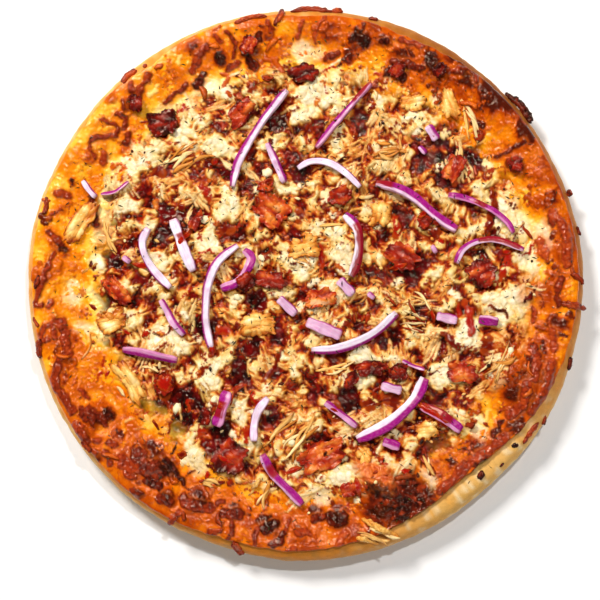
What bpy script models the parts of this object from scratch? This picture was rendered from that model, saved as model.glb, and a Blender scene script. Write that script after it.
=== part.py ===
"""A baked pan pizza, 300 mm across, with shredded chicken, bacon and red onion.

The frame is the pizza's own: metres, +Z up, with the origin at the centre of its flat underside. +X is the
right of the pizza and +Y its far side. A dough crust with a raised lip carries one layer of melted cheese.
Onion strips, bacon and large pieces of chicken lie on that layer as solids of their own. The fine shreds,
crumbs and crisp cheese at the rim are fused to it.
"""

import math
import random

import bmesh
import bpy
from mathutils import Vector, noise
from mathutils.bvhtree import BVHTree

# Driving dimensions
RADIUS = 0.150
FLOOR_HEIGHT = 0.012
LIP_HEIGHT = 0.0192
CHEESE_DEPTH = 0.0052
CHEESE_DEPTH_AT_LIP = 0.0026
GAP = 0.0004
REST_GAP = 0.0004

# The crust's section, as shares of the outline's radius and heights in metres, from the middle of the top
# over the lip and down the wall to the middle of the underside
FLOOR_EDGE = 0.80
CRUST_TOP_SECTION = [
    (0.0, FLOOR_HEIGHT),
    (FLOOR_EDGE, FLOOR_HEIGHT),
    (0.86, 0.0146),
    (0.91, 0.0178),
    (0.945, LIP_HEIGHT),
    (0.975, 0.0181),
    (0.993, 0.0148),
    (1.0, 0.0105),
]
CRUST_WALL_SECTION = [(0.995, 0.0050), (0.981, 0.0013), (0.966, 0.0), (0.0, 0.0)]

# The crust and the cheese share these directions, so that their facets stay parallel
HEXAGON_SIDES = 6
LATTICE_RINGS = 15
DIRECTIONS = HEXAGON_SIDES * LATTICE_RINGS

# Where the cheese stops, as a share of the outline's radius, and the places where more dough is bare:
# direction in degrees, depth of the dip and its half width in degrees
CHEESE_EDGE = 0.976
BARE_DOUGH = [
    (312.0, 0.055, 24.0),
    (350.0, 0.020, 18.0),
    (62.0, 0.018, 22.0),
    (137.0, 0.028, 7.0),
    (262.0, 0.024, 16.0),
]

# Blisters of dough and cheese that rose in the oven: place, radius and height
BLISTERS = [
    ((0.0420, -0.1080), 0.022, 0.0080),
    ((0.1130, -0.0500), 0.024, 0.0060),
    ((-0.0860, -0.0955), 0.013, 0.0034),
    ((-0.1150, -0.0705), 0.010, 0.0026),
    ((-0.1210, -0.0815), 0.007, 0.0020),
    ((-0.0740, -0.1130), 0.007, 0.0020),
    ((0.0665, 0.1170), 0.009, 0.0022),
    ((0.1160, 0.0000), 0.012, 0.0020),
]

# Onion strips: the middle line of each, its width across, and its roll, which is 0 for a strip lying flat
ONION_THICKNESS = 0.0028
ONIONS = [
    ([(-0.0110, 0.1055), (-0.0245, 0.0885), (-0.0370, 0.0670), (-0.0405, 0.0530)], 0.0046, 20.0),
    ([(0.0345, 0.1090), (0.0250, 0.0980), (0.0145, 0.0860), (0.0050, 0.0740)], 0.0034, 50.0),
    (
        [(-0.0050, 0.0630), (0.0020, 0.0665), (0.0110, 0.0660), (0.0200, 0.0610), (0.0290, 0.0525)],
        0.0040,
        10.0,
    ),
    ([(-0.0215, 0.0765), (-0.0170, 0.0665), (-0.0120, 0.0550)], 0.0040, 35.0),
    (
        [(0.0375, 0.0545), (0.0495, 0.0515), (0.0585, 0.0465), (0.0700, 0.0365), (0.0810, 0.0290)],
        0.0056,
        55.0,
    ),
    ([(0.0655, 0.0855), (0.0705, 0.0780)], 0.0052, 10.0),
    (
        [(0.0765, 0.0480), (0.0875, 0.0455), (0.1000, 0.0395), (0.1080, 0.0330), (0.1115, 0.0270)],
        0.0028,
        60.0,
    ),
    (
        [(0.0805, 0.0110), (0.0840, 0.0180), (0.0915, 0.0225), (0.1025, 0.0235), (0.1170, 0.0180)],
        0.0032,
        30.0,
    ),
    ([(0.0700, -0.0175), (0.0810, -0.0200)], 0.0056, 5.0),
    ([(0.0925, -0.0195), (0.1030, -0.0210)], 0.0056, 30.0),
    (
        [(-0.0375, 0.0210), (-0.0480, 0.0125), (-0.0535, 0.0005), (-0.0550, -0.0130), (-0.0545, -0.0240),
         (-0.0520, -0.0345)],
        0.0046,
        20.0,
    ),
    (
        [(-0.0340, 0.0185), (-0.0300, 0.0140), (-0.0325, 0.0070), (-0.0375, 0.0010), (-0.0465, -0.0025)],
        0.0038,
        70.0,
    ),
    (
        [(0.0205, 0.0375), (0.0270, 0.0305), (0.0285, 0.0210), (0.0270, 0.0110), (0.0240, 0.0040)],
        0.0052,
        35.0,
    ),
    ([(0.0175, 0.0020), (0.0250, -0.0060)], 0.0056, 15.0),
    ([(-0.0150, -0.0080), (-0.0060, -0.0165)], 0.0052, 10.0),
    ([(0.0000, -0.0205), (0.0185, -0.0280)], 0.0068, 5.0),
    (
        [(0.0025, -0.0360), (0.0150, -0.0355), (0.0280, -0.0315), (0.0390, -0.0250), (0.0485, -0.0160)],
        0.0050,
        25.0,
    ),
    ([(0.0400, -0.0550), (0.0510, -0.0578)], 0.0050, 5.0),
    ([(-0.0430, -0.0580), (-0.0460, -0.0680), (-0.0490, -0.0770)], 0.0068, 10.0),
    (
        [(-0.0860, 0.0305), (-0.0895, 0.0235), (-0.0875, 0.0145), (-0.0820, 0.0060), (-0.0740, -0.0020)],
        0.0048,
        15.0,
    ),
    ([(-0.0730, 0.0355), (-0.0690, 0.0250), (-0.0655, 0.0160), (-0.0615, 0.0070)], 0.0060, 5.0),
    ([(-0.0790, -0.0085), (-0.0755, -0.0150), (-0.0725, -0.0205), (-0.0665, -0.0275)], 0.0038, 30.0),
    ([(-0.1000, -0.0355), (-0.0905, -0.0370), (-0.0795, -0.0395), (-0.0700, -0.0415)], 0.0044, 65.0),
    ([(-0.0210, -0.0615), (-0.0265, -0.0690), (-0.0285, -0.0770), (-0.0285, -0.0850)], 0.0044, 10.0),
    ([(-0.0240, -0.0920), (-0.0205, -0.0990), (-0.0170, -0.1040), (-0.0105, -0.1105), (-0.0025, -0.1190)],
     0.0042, 60.0),
    ([(0.0100, -0.0640), (0.0180, -0.0700), (0.0270, -0.0770)], 0.0032, 45.0),
    ([(0.0635, -0.0510), (0.0575, -0.0630), (0.0440, -0.0755), (0.0270, -0.0840)], 0.0064, 40.0),
    ([(0.0410, -0.0850), (0.0500, -0.0880)], 0.0050, 30.0),
    ([(0.0615, -0.0660), (0.0720, -0.0710), (0.0830, -0.0790)], 0.0060, 20.0),
]

# Bacon: place, length, width and turn in degrees, and how far it curls up
BACON_THICKNESS = 0.0020
BACON_CURL = 0.0018
BACON = [
    ((-0.0785, 0.0885), 0.016, 0.015, 8.0),
    ((-0.0355, 0.0935), 0.017, 0.010, 57.0),
    ((-0.0015, 0.1150), 0.015, 0.009, 0.0),
    ((-0.0190, 0.0400), 0.020, 0.017, -45.0),
    ((0.0180, 0.0480), 0.012, 0.009, 20.0),
    ((0.0070, -0.0080), 0.016, 0.010, 10.0),
    ((-0.0200, 0.0020), 0.016, 0.009, -12.0),
    ((0.0345, -0.0460), 0.016, 0.008, 5.0),
    ((0.0830, -0.0480), 0.016, 0.011, -10.0),
    ((0.0940, 0.0060), 0.015, 0.015, 30.0),
    ((0.0520, 0.0145), 0.018, 0.013, -30.0),
    ((0.0795, 0.0630), 0.017, 0.010, 65.0),
    ((-0.0415, -0.0925), 0.018, 0.017, 45.0),
    ((0.0080, -0.0930), 0.026, 0.014, 25.0),
    ((0.0225, -0.1110), 0.008, 0.008, 0.0),
    ((-0.0775, -0.0540), 0.012, 0.010, 90.0),
    ((-0.1040, -0.0025), 0.018, 0.009, -45.0),
]

# Large pieces of chicken: place, length, width, height and turn in degrees
CHICKEN = [
    ((-0.1240, 0.0330), 0.022, 0.010, 0.0055, 57.0),
    ((-0.1060, -0.0205), 0.014, 0.010, 0.0055, 30.0),
    ((-0.0955, -0.0530), 0.021, 0.008, 0.0055, -58.0),
    ((0.0770, 0.0975), 0.013, 0.009, 0.0050, -70.0),
    ((0.0570, 0.0985), 0.012, 0.009, 0.0050, 10.0),
    ((-0.0270, -0.0210), 0.016, 0.012, 0.0060, 5.0),
    ((-0.0010, 0.0200), 0.014, 0.011, 0.0055, 20.0),
    ((0.0400, 0.0375), 0.012, 0.010, 0.0055, 80.0),
    ((0.0310, -0.0925), 0.008, 0.007, 0.0050, -60.0),
    ((0.0640, -0.0790), 0.010, 0.009, 0.0060, 10.0),
]

# Shredded chicken and cheese shreds fused to the layer, the longest first
SHRED_COUNT = 80
SHRED_STEPS = 3.01
LONGEST_SHRED = 0.024
SHORTEST_SHRED = 0.009
SHRED_WIDTHS = (0.0026, 0.0036)
SHRED_THICKNESS = 0.0024
SHRED_SINK = 0.0011
SHRED_BOW = 0.25
SHRED_CURL = 0.0012
SHRED_ROLL = 0.35
SHRED_REACH = 0.83
SHRED_SPACING = 0.0088
SHRED_CLEARANCE = 0.0027
CRUMB_COUNT = 30
CRUMB_RADIUS = 0.0020
CRUMB_REACH = 0.90
CRUMB_SPACING = 0.0052
CRUMB_CLEARANCE = 0.0036
PLACE_TRIES = 60

# Crisp cheese strands at the rim. Each has its direction in degrees, its share of the radius, its length, its
# width, and its heading against the outward direction in degrees.
STRAND_HOLD = 0.010
STRAND_LIFT = 0.0014
STRAND_BEND = 0.0016
STRAND_BOW = 0.12
RIM_STRANDS = [
    (138.0, 0.985, 0.016, 0.0030, 88.0),
    (97.0, 0.965, 0.010, 0.0030, 5.0),
    (91.0, 0.990, 0.016, 0.0028, 92.0),
    (83.0, 0.995, 0.010, 0.0028, 80.0),
    (38.0, 0.995, 0.020, 0.0030, 93.0),
    (20.0, 0.975, 0.007, 0.0026, 20.0),
    (355.0, 0.950, 0.018, 0.0030, 4.0),
    (336.0, 0.985, 0.010, 0.0028, 70.0),
    (243.0, 0.965, 0.012, 0.0036, 8.0),
    (254.0, 0.970, 0.010, 0.0030, 30.0),
    (272.0, 0.950, 0.012, 0.0036, 20.0),
    (285.0, 0.935, 0.014, 0.0032, 25.0),
    (205.0, 0.955, 0.020, 0.0050, 85.0),
    (192.0, 0.945, 0.018, 0.0034, 100.0),
    (178.0, 0.955, 0.014, 0.0032, 60.0),
    (150.0, 0.930, 0.016, 0.0030, 75.0),
    (160.0, 0.900, 0.015, 0.0028, 40.0),
    (127.0, 0.915, 0.015, 0.0030, 20.0),
    (111.0, 0.930, 0.014, 0.0034, 50.0),
    (75.0, 0.905, 0.016, 0.0032, 60.0),
    (59.0, 0.870, 0.016, 0.0032, 15.0),
    (30.0, 0.900, 0.016, 0.0034, 80.0),
    (8.0, 0.905, 0.018, 0.0036, 85.0),
    (222.0, 0.930, 0.014, 0.0034, 70.0),
]

DOUGH_LOOK = ((0.86, 0.62, 0.28, 1.0), 0.65)
CHEESE_LOOK = ((0.93, 0.62, 0.22, 1.0), 0.35)
ONION_LOOK = ((0.72, 0.24, 0.55, 1.0), 0.40)
BACON_LOOK = ((0.45, 0.10, 0.05, 1.0), 0.40)
CHICKEN_LOOK = ((0.88, 0.68, 0.36, 1.0), 0.50)


def clear_scene():
    for old in list(bpy.data.objects):
        bpy.data.objects.remove(old)


def material(name, look):
    colour, roughness = look
    made = bpy.data.materials.new(name)
    made.use_nodes = True
    surface = made.node_tree.nodes["Principled BSDF"]
    surface.inputs["Base Color"].default_value = colour
    surface.inputs["Roughness"].default_value = roughness
    surface.inputs["Metallic"].default_value = 0.0
    made.diffuse_color = colour
    return made


def add_mesh_object(name, bm, collection):
    mesh = bpy.data.meshes.new(name)
    bm.to_mesh(mesh)
    bm.free()
    made = bpy.data.objects.new(name, mesh)
    collection.objects.link(made)
    return made


def applied_mesh(source):
    """The mesh of an object with its modifiers applied."""
    graph = bpy.context.evaluated_depsgraph_get()
    return bpy.data.meshes.new_from_object(source.evaluated_get(graph), depsgraph=graph)


def apply_modifiers(target):
    target.data = applied_mesh(target)
    target.modifiers.clear()


def smooth_noise(x, y, size, layer):
    return noise.noise(Vector((x / size, y / size, layer)))


def bump_at(degrees, middle, half_width):
    """A smooth bump of height 1 in one direction of the circle."""
    away = (degrees - middle + 180.0) % 360.0 - 180.0
    return math.exp(-((away / half_width) ** 2))


def outline_factor(degrees):
    """The outline's radius against a true circle: slightly oval, flatter at the front right."""
    oval = 0.004 * math.cos(2.0 * math.radians(degrees - 165.0))
    ripple = 0.0018 * math.sin(math.radians(7.0 * degrees))
    ripple += 0.0012 * math.sin(math.radians(11.0 * degrees + 40.0))
    return 1.0 + oval + ripple - 0.020 * bump_at(degrees, 312.0, 20.0)


def cheese_edge(degrees):
    edge = CHEESE_EDGE - sum(depth * bump_at(degrees, middle, width) for middle, depth, width in BARE_DOUGH)
    turn = math.radians(degrees)
    return edge + 0.005 * noise.noise(Vector((4.0 * math.cos(turn), 4.0 * math.sin(turn), 3.0)))


def crust_top(share):
    """The height of the crust's upper side at a share of the outline's radius."""
    for (inner, low), (outer, high) in zip(CRUST_TOP_SECTION, CRUST_TOP_SECTION[1:]):
        if share <= outer:
            return low + (high - low) * (share - inner) / (outer - inner)
    return CRUST_TOP_SECTION[-1][1]


def polar(point):
    """(share of the outline's radius, direction in degrees) of a place on the pizza."""
    degrees = math.degrees(math.atan2(point[1], point[0])) % 360.0
    return math.hypot(point[0], point[1]) / (RADIUS * outline_factor(degrees)), degrees


def place_at(share, degrees):
    reach = share * RADIUS * outline_factor(degrees)
    return reach * math.cos(math.radians(degrees)), reach * math.sin(math.radians(degrees))


def cheese_top(x, y):
    """The height of the bare cheese: a thick middle that thins over the lip, lumps, and the blisters."""
    share, degrees = polar((x, y))
    toward_lip = min(1.0, max(0.0, (share - 0.72) / 0.22))
    eased = toward_lip * toward_lip * (3.0 - 2.0 * toward_lip)
    depth = CHEESE_DEPTH + (CHEESE_DEPTH_AT_LIP - CHEESE_DEPTH) * eased
    lumps = 0.0013 * smooth_noise(x, y, 0.017, 1.0) + 0.0007 * smooth_noise(x, y, 0.009, 5.0)
    height = crust_top(share) + depth + lumps * (1.0 - 0.75 * eased)
    for (at_x, at_y), radius, rise in BLISTERS:
        away = math.hypot(x - at_x, y - at_y) / radius
        if away < 1.0:
            height += rise * (1.0 - away * away) ** 2
    return height


def build_crust(collection, look):
    """The dough: a turned section, its outline then eased out of round."""
    bm = bmesh.new()
    section = CRUST_TOP_SECTION + CRUST_WALL_SECTION
    corners = [bm.verts.new((share * RADIUS, 0.0, height)) for share, height in section]
    for upper, lower in zip(corners, corners[1:]):
        bm.edges.new((upper, lower))
    crust = add_mesh_object("crust", bm, collection)
    turn = crust.modifiers.new("turn", "SCREW")
    turn.steps = DIRECTIONS
    turn.render_steps = DIRECTIONS
    turn.use_merge_vertices = True
    turn.merge_threshold = 0.00005
    apply_modifiers(crust)
    for vertex in crust.data.vertices:
        degrees = math.degrees(math.atan2(vertex.co.y, vertex.co.x))
        factor = outline_factor(degrees)
        vertex.co.x *= factor
        vertex.co.y *= factor
    crust.data.materials.append(look)
    crust.data.shade_smooth()
    crust.data.set_sharp_from_angle(angle=math.radians(50.0))
    return crust


def disc_lattice():
    """A disc of even triangles: a hexagon cut into a lattice, each ring of which is then made round."""
    bm = bmesh.new()
    bmesh.ops.create_circle(bm, cap_ends=True, cap_tris=True, segments=HEXAGON_SIDES, radius=1.0)
    bmesh.ops.subdivide_edges(bm, edges=bm.edges[:], cuts=LATTICE_RINGS - 1, use_grid_fill=True)
    sector = 2.0 * math.pi / HEXAGON_SIDES
    for vertex in bm.verts:
        x, y = vertex.co.x, vertex.co.y
        if math.hypot(x, y) < 1e-6:
            continue
        # The first corner of the circle lies on +Y, and the sectors are counted from there
        turned = (math.atan2(y, x) - math.pi / 2.0) % (2.0 * math.pi)
        index = math.floor(turned / sector + 1e-6)
        inside = turned - index * sector
        length = math.hypot(x, y)
        along_second = length * math.sin(inside) / math.sin(sector)
        along_first = length * math.sin(sector - inside) / math.sin(sector)
        ring = along_first + along_second
        angle = math.pi / 2.0 + (index + along_second / ring) * sector
        vertex.co = (ring * math.cos(angle), ring * math.sin(angle), 0.0)
    return bm


def build_cheese(collection, look):
    """The bare layer of cheese: a lattice shaped by cheese_top, closed underneath along the crust."""
    bm = disc_lattice()
    for vertex in bm.verts:
        ring = math.hypot(vertex.co.x, vertex.co.y)
        degrees = math.degrees(math.atan2(vertex.co.y, vertex.co.x))
        vertex.co.x, vertex.co.y = place_at(ring * cheese_edge(degrees), degrees)
        vertex.co.z = cheese_top(vertex.co.x, vertex.co.y)
    rim = [edge for edge in bm.edges if edge.is_boundary]
    # Underneath, each ring follows a bend of the crust's section, from the edge of the cheese inwards
    bends = [share for share, _ in CRUST_TOP_SECTION if FLOOR_EDGE <= share <= 0.975]
    spacing = 0.006
    for step, bend in enumerate([1.0] + bends[::-1]):
        made = bmesh.ops.extrude_edge_only(bm, edges=rim)["geom"]
        rim = [item for item in made if isinstance(item, bmesh.types.BMEdge)]
        for vertex in {corner for edge in rim for corner in edge.verts}:
            degrees = math.degrees(math.atan2(vertex.co.y, vertex.co.x))
            share = min(bend, cheese_edge(degrees) - spacing * step)
            vertex.co.x, vertex.co.y = place_at(share, degrees)
            vertex.co.z = crust_top(share) + GAP
    bmesh.ops.contextual_create(bm, geom=rim)
    bmesh.ops.recalc_face_normals(bm, faces=bm.faces[:])
    bmesh.ops.triangulate(bm, faces=bm.faces[:])
    cheese = add_mesh_object("cheese", bm, collection)
    cheese.data.materials.append(look)
    return cheese


class Ground:
    """Heights of a solid seen from above."""

    FROM = 0.2

    def __init__(self, *solids):
        self.trees = []
        for solid in solids:
            bm = bmesh.new()
            bm.from_mesh(solid.data)
            self.trees.append(BVHTree.FromBMesh(bm))
            bm.free()

    def height(self, x, y):
        found = [tree.ray_cast(Vector((x, y, self.FROM)), Vector((0.0, 0.0, -1.0)))[0] for tree in self.trees]
        return max((hit.z for hit in found if hit is not None), default=0.0)

    def highest_near(self, x, y, reach):
        """The highest point within reach of a place, from two rings of samples."""
        best = self.height(x, y)
        for distance in (0.5 * reach, reach):
            for step in range(8):
                turn = step * math.pi / 4.0
                sample = self.height(x + distance * math.cos(turn), y + distance * math.sin(turn))
                best = max(best, sample)
        return best


def smooth_line(points, spacing):
    """Evenly spaced places and directions along a smooth line through a few points."""
    ends = [points[0]] + list(points) + [points[-1]]
    fine = []
    for before, start, end, after in zip(ends, ends[1:], ends[2:], ends[3:]):
        for step in range(12):
            t = step / 12.0
            fine.append([
                0.5 * (2.0 * start[i] + (end[i] - before[i]) * t
                       + (2.0 * before[i] - 5.0 * start[i] + 4.0 * end[i] - after[i]) * t * t
                       + (3.0 * start[i] - before[i] - 3.0 * end[i] + after[i]) * t ** 3)
                for i in (0, 1)
            ])
    fine.append(list(points[-1]))
    lengths = [0.0]
    for first, second in zip(fine, fine[1:]):
        lengths.append(lengths[-1] + math.dist(first, second))
    count = max(2, round(lengths[-1] / spacing))
    stations = []
    for step in range(count + 1):
        goal = lengths[-1] * step / count
        at = max(1, next((i for i, value in enumerate(lengths) if value >= goal), len(lengths) - 1))
        share = (goal - lengths[at - 1]) / max(1e-9, lengths[at] - lengths[at - 1])
        first, second = Vector(fine[at - 1]), Vector(fine[at])
        stations.append((first.lerp(second, min(1.0, share)), (second - first).normalized()))
    return stations


def ribbon(stations, width, roll, height_of):
    """An open strip along stations: two edge points at each, turned by roll about the line."""
    bm = bmesh.new()
    edges = []
    last = len(stations) - 1
    for index, (place, along) in enumerate(stations):
        half = 0.5 * width * (0.72 if index in (0, last) else 1.0)
        side = Vector((-along.y, along.x)) * half * math.cos(roll)
        rise = half * math.sin(roll)
        z = height_of(index)
        edges.append((
            bm.verts.new((place.x - side.x, place.y - side.y, z - rise)),
            bm.verts.new((place.x + side.x, place.y + side.y, z + rise)),
        ))
    for (right, left), (next_right, next_left) in zip(edges, edges[1:]):
        bm.faces.new((right, next_right, next_left, left))
    return bm


def thicken(target, thickness, offset):
    wall = target.modifiers.new("wall", "SOLIDIFY")
    wall.thickness = thickness
    wall.offset = offset
    apply_modifiers(target)


def triangulate(target):
    bm = bmesh.new()
    bm.from_mesh(target.data)
    bmesh.ops.triangulate(bm, faces=bm.faces[:])
    bm.to_mesh(target.data)
    bm.free()


def build_onion(name, line, width, roll_degrees, ground, collection, look):
    """A cut strip of red onion: a rectangle of onion swept along its curve, lying on the cheese."""
    spacing = 0.0065
    roll = math.radians(roll_degrees)
    stations = smooth_line(line, spacing)
    half_height = 0.5 * (width * abs(math.sin(roll)) + ONION_THICKNESS * abs(math.cos(roll)))
    reach = 0.5 * spacing + 0.5 * width

    def height_of(index):
        place = stations[index][0]
        return ground.highest_near(place.x, place.y, reach) + REST_GAP + half_height

    onion = add_mesh_object(name, ribbon(stations, width, roll, height_of), collection)
    thicken(onion, ONION_THICKNESS, 0.0)
    onion.data.materials.append(look)
    return onion


def build_bacon(name, shape, index, ground, collection, look):
    """A fried scrap of bacon: a small curled sheet with an uneven outline."""
    place, length, width, degrees = shape
    draw = random.Random(100 + index)
    columns, rows = 4, 2
    bm = bmesh.new()
    bmesh.ops.create_grid(bm, x_segments=columns, y_segments=rows, size=0.5)
    turn = math.radians(degrees)
    wave = draw.uniform(0.0, math.pi)
    for vertex in bm.verts:
        across, up = vertex.co.x, vertex.co.y
        corner = abs(across) > 0.45 and abs(up) > 0.45
        ragged = 1.0 - draw.uniform(0.05, 0.28) * (0.9 if corner else 0.35)
        local = Vector((across * length * ragged, up * width * ragged))
        x = place[0] + local.x * math.cos(turn) - local.y * math.sin(turn)
        y = place[1] + local.x * math.sin(turn) + local.y * math.cos(turn)
        curl = BACON_CURL * (0.5 + 0.5 * math.sin(wave + 5.5 * across)) * (0.4 + 1.2 * abs(up))
        vertex.co = (x, y, ground.highest_near(x, y, 0.0040) + REST_GAP + curl)
    bmesh.ops.recalc_face_normals(bm, faces=bm.faces[:])
    if sum(face.normal.z for face in bm.faces) < 0.0:
        bmesh.ops.reverse_faces(bm, faces=bm.faces[:])
    bacon = add_mesh_object(name, bm, collection)
    thicken(bacon, BACON_THICKNESS, 1.0)
    bacon.data.materials.append(look)
    return bacon


def build_chicken(name, shape, index, ground, collection, look):
    """A torn piece of chicken: a flattened, faceted lump."""
    place, length, width, height, degrees = shape
    lumps = Vector((7.3 * index, 0.0, 0.0))
    bm = bmesh.new()
    bmesh.ops.create_icosphere(bm, subdivisions=2, radius=0.5)
    turn = math.radians(degrees)
    rest = ground.highest_near(place[0], place[1], 0.3 * width) + REST_GAP
    for vertex in bm.verts:
        rough = 1.0 + 0.22 * noise.noise(vertex.co * 3.1 + lumps)
        local = Vector((vertex.co.x * length * rough, vertex.co.y * width * rough))
        x = place[0] + local.x * math.cos(turn) - local.y * math.sin(turn)
        y = place[1] + local.x * math.sin(turn) + local.y * math.cos(turn)
        z = rest + height * (0.5 + vertex.co.z * rough) * 0.95
        lowest = ground.highest_near(x, y, 0.0035) + REST_GAP
        vertex.co = (x, y, max(z, lowest + 0.25 * height * (vertex.co.z + 0.5)))
    chicken = add_mesh_object(name, bm, collection)
    chicken.data.materials.append(look)
    return chicken


def clear_of(tree, points, distance):
    """Whether every point is at least this far from the pieces in the tree."""
    return all(tree.find_nearest(point, distance)[0] is None for point in points)


def tree_of(pieces):
    """One search tree over the faces of many pieces."""
    bm = bmesh.new()
    for piece in pieces:
        bm.from_mesh(piece.data)
    tree = BVHTree.FromBMesh(bm)
    bm.free()
    return tree


def random_place(draw, share):
    """A random place within this share of the pizza's radius, evenly over its area."""
    reach = RADIUS * share * math.sqrt(draw.random())
    turn = draw.uniform(0.0, 2.0 * math.pi)
    return Vector((reach * math.cos(turn), reach * math.sin(turn)))


def too_close(place, others, distance):
    return any((place - other).length < distance for other in others)


def shred_stations(draw, middle, length, ground):
    """A shred's stations and heights: a bent line that follows the cheese, its ends curling up."""
    heading = draw.uniform(0.0, math.pi)
    along = Vector((math.cos(heading), math.sin(heading)))
    bow = Vector((-along.y, along.x)) * draw.uniform(-SHRED_BOW, SHRED_BOW) * length
    line = [middle - along * length / 2.0, middle + bow, middle + along * length / 2.0]
    stations = smooth_line(line, length / SHRED_STEPS)
    curl = draw.uniform(0.0, SHRED_CURL)
    heights = []
    for index, (place, _) in enumerate(stations):
        from_middle = 2.0 * index / (len(stations) - 1) - 1.0
        sunk = ground.height(place.x, place.y) - SHRED_SINK + 0.5 * SHRED_THICKNESS
        heights.append(sunk + curl * from_middle ** 2)
    return stations, heights


def scatter_shreds(ground, tree, collection):
    """Shreds of chicken and cheese, the longest first, spread evenly where no larger piece lies."""
    draw = random.Random(12)
    middles = []
    for index in range(SHRED_COUNT):
        length = LONGEST_SHRED + (SHORTEST_SHRED - LONGEST_SHRED) * index / SHRED_COUNT
        for _ in range(PLACE_TRIES):
            middle = random_place(draw, SHRED_REACH)
            if too_close(middle, middles, SHRED_SPACING):
                continue
            stations, heights = shred_stations(draw, middle, length, ground)
            width = draw.uniform(*SHRED_WIDTHS)
            corners = []
            for (place, along), z in zip(stations, heights):
                across = Vector((-along.y, along.x, 0.0)) * width * 0.5
                top = Vector((place.x, place.y, z + 0.5 * SHRED_THICKNESS))
                corners += [top - across, top, top + across]
            if clear_of(tree, corners, SHRED_CLEARANCE):
                break
        else:
            continue
        middles.append(middle)
        roll = draw.uniform(-SHRED_ROLL, SHRED_ROLL)
        strip = ribbon(stations, width, roll, lambda i, z=heights: z[i])
        shred = add_mesh_object(f"shred_{index:03d}", strip, collection)
        thicken(shred, SHRED_THICKNESS, 0.0)
    for index in range(CRUMB_COUNT):
        for _ in range(PLACE_TRIES):
            place = random_place(draw, CRUMB_REACH)
            top = Vector((place.x, place.y, ground.height(place.x, place.y) + 0.5 * CRUMB_RADIUS))
            if not too_close(place, middles, CRUMB_SPACING) and clear_of(tree, [top], CRUMB_CLEARANCE):
                break
        else:
            continue
        middles.append(place)
        add_mesh_object(f"crumb_{index:03d}", crumb(draw, place, ground), collection)


def crumb(draw, place, ground):
    """A small uneven lump, sunk to its middle in the cheese."""
    bm = bmesh.new()
    bmesh.ops.create_icosphere(bm, subdivisions=1, radius=CRUMB_RADIUS * draw.uniform(0.6, 1.1))
    centre = Vector((place.x, place.y, ground.height(place.x, place.y) + 0.2 * CRUMB_RADIUS))
    for vertex in bm.verts:
        vertex.co = vertex.co * draw.uniform(0.85, 1.2) + centre
    return bm


def support_height(place, ground):
    """The height of what a strand lies on: the cheese, the bare dough beside it, or nothing past the edge."""
    share, degrees = polar(place)
    if share >= 1.0:
        return 0.0
    if share < cheese_edge(degrees) - STRAND_HOLD:
        return ground.height(place.x, place.y) - SHRED_SINK
    return crust_top(share) + STRAND_LIFT


def add_rim_strands(ground, tree, collection):
    """Crisp strands of cheese that lie on the rim, and a few that reach past it."""
    for index, (degrees, share, length, width, heading) in enumerate(RIM_STRANDS):
        middle = Vector(place_at(share, degrees))
        turn = math.radians(degrees + heading)
        along = Vector((math.cos(turn), math.sin(turn)))
        bow = Vector((-along.y, along.x)) * STRAND_BOW * length * (-1.0) ** index
        line = [middle - along * length / 2.0, middle + bow, middle + along * length / 2.0]
        stations = smooth_line(line, length / SHRED_STEPS)
        supports = [support_height(place, ground) for place, _ in stations]
        lowest = max(supports) - STRAND_BEND
        heights = [max(height, lowest) + 0.5 * SHRED_THICKNESS for height in supports]
        corners = [Vector((place.x, place.y, z)) for (place, _), z in zip(stations, heights)]
        if not clear_of(tree, corners, SHRED_CLEARANCE):
            continue
        strip = ribbon(stations, width, 0.0, lambda i, z=heights: z[i])
        strand = add_mesh_object(f"strand_{index:03d}", strip, collection)
        thicken(strand, SHRED_THICKNESS, 0.0)


def keep_largest_body(target):
    """Drops loose scraps and fills sealed hollows, both of which are shells apart from the main one."""
    bm = bmesh.new()
    bm.from_mesh(target.data)
    left = set(bm.verts)
    bodies = []
    while left:
        stack = [left.pop()]
        body = []
        while stack:
            vertex = stack.pop()
            body.append(vertex)
            for edge in vertex.link_edges:
                other = edge.other_vert(vertex)
                if other in left:
                    left.remove(other)
                    stack.append(other)
        bodies.append(body)
    bodies.sort(key=len, reverse=True)
    bmesh.ops.delete(bm, geom=[vertex for body in bodies[1:] for vertex in body], context="VERTS")
    bmesh.ops.triangulate(bm, faces=bm.faces[:])
    bm.to_mesh(target.data)
    bm.free()


def fuse(core, pieces):
    """Joins a collection of closed pieces to the core in one union, and removes them."""
    union = core.modifiers.new("fuse", "BOOLEAN")
    union.operation = "UNION"
    union.operand_type = "COLLECTION"
    union.collection = pieces
    union.solver = "MANIFOLD"
    apply_modifiers(core)
    for piece in list(pieces.objects):
        bpy.data.objects.remove(piece)
    bpy.data.collections.remove(pieces)
    keep_largest_body(core)
    core.data.shade_smooth()
    core.data.set_sharp_from_angle(angle=math.radians(35.0))


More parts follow.
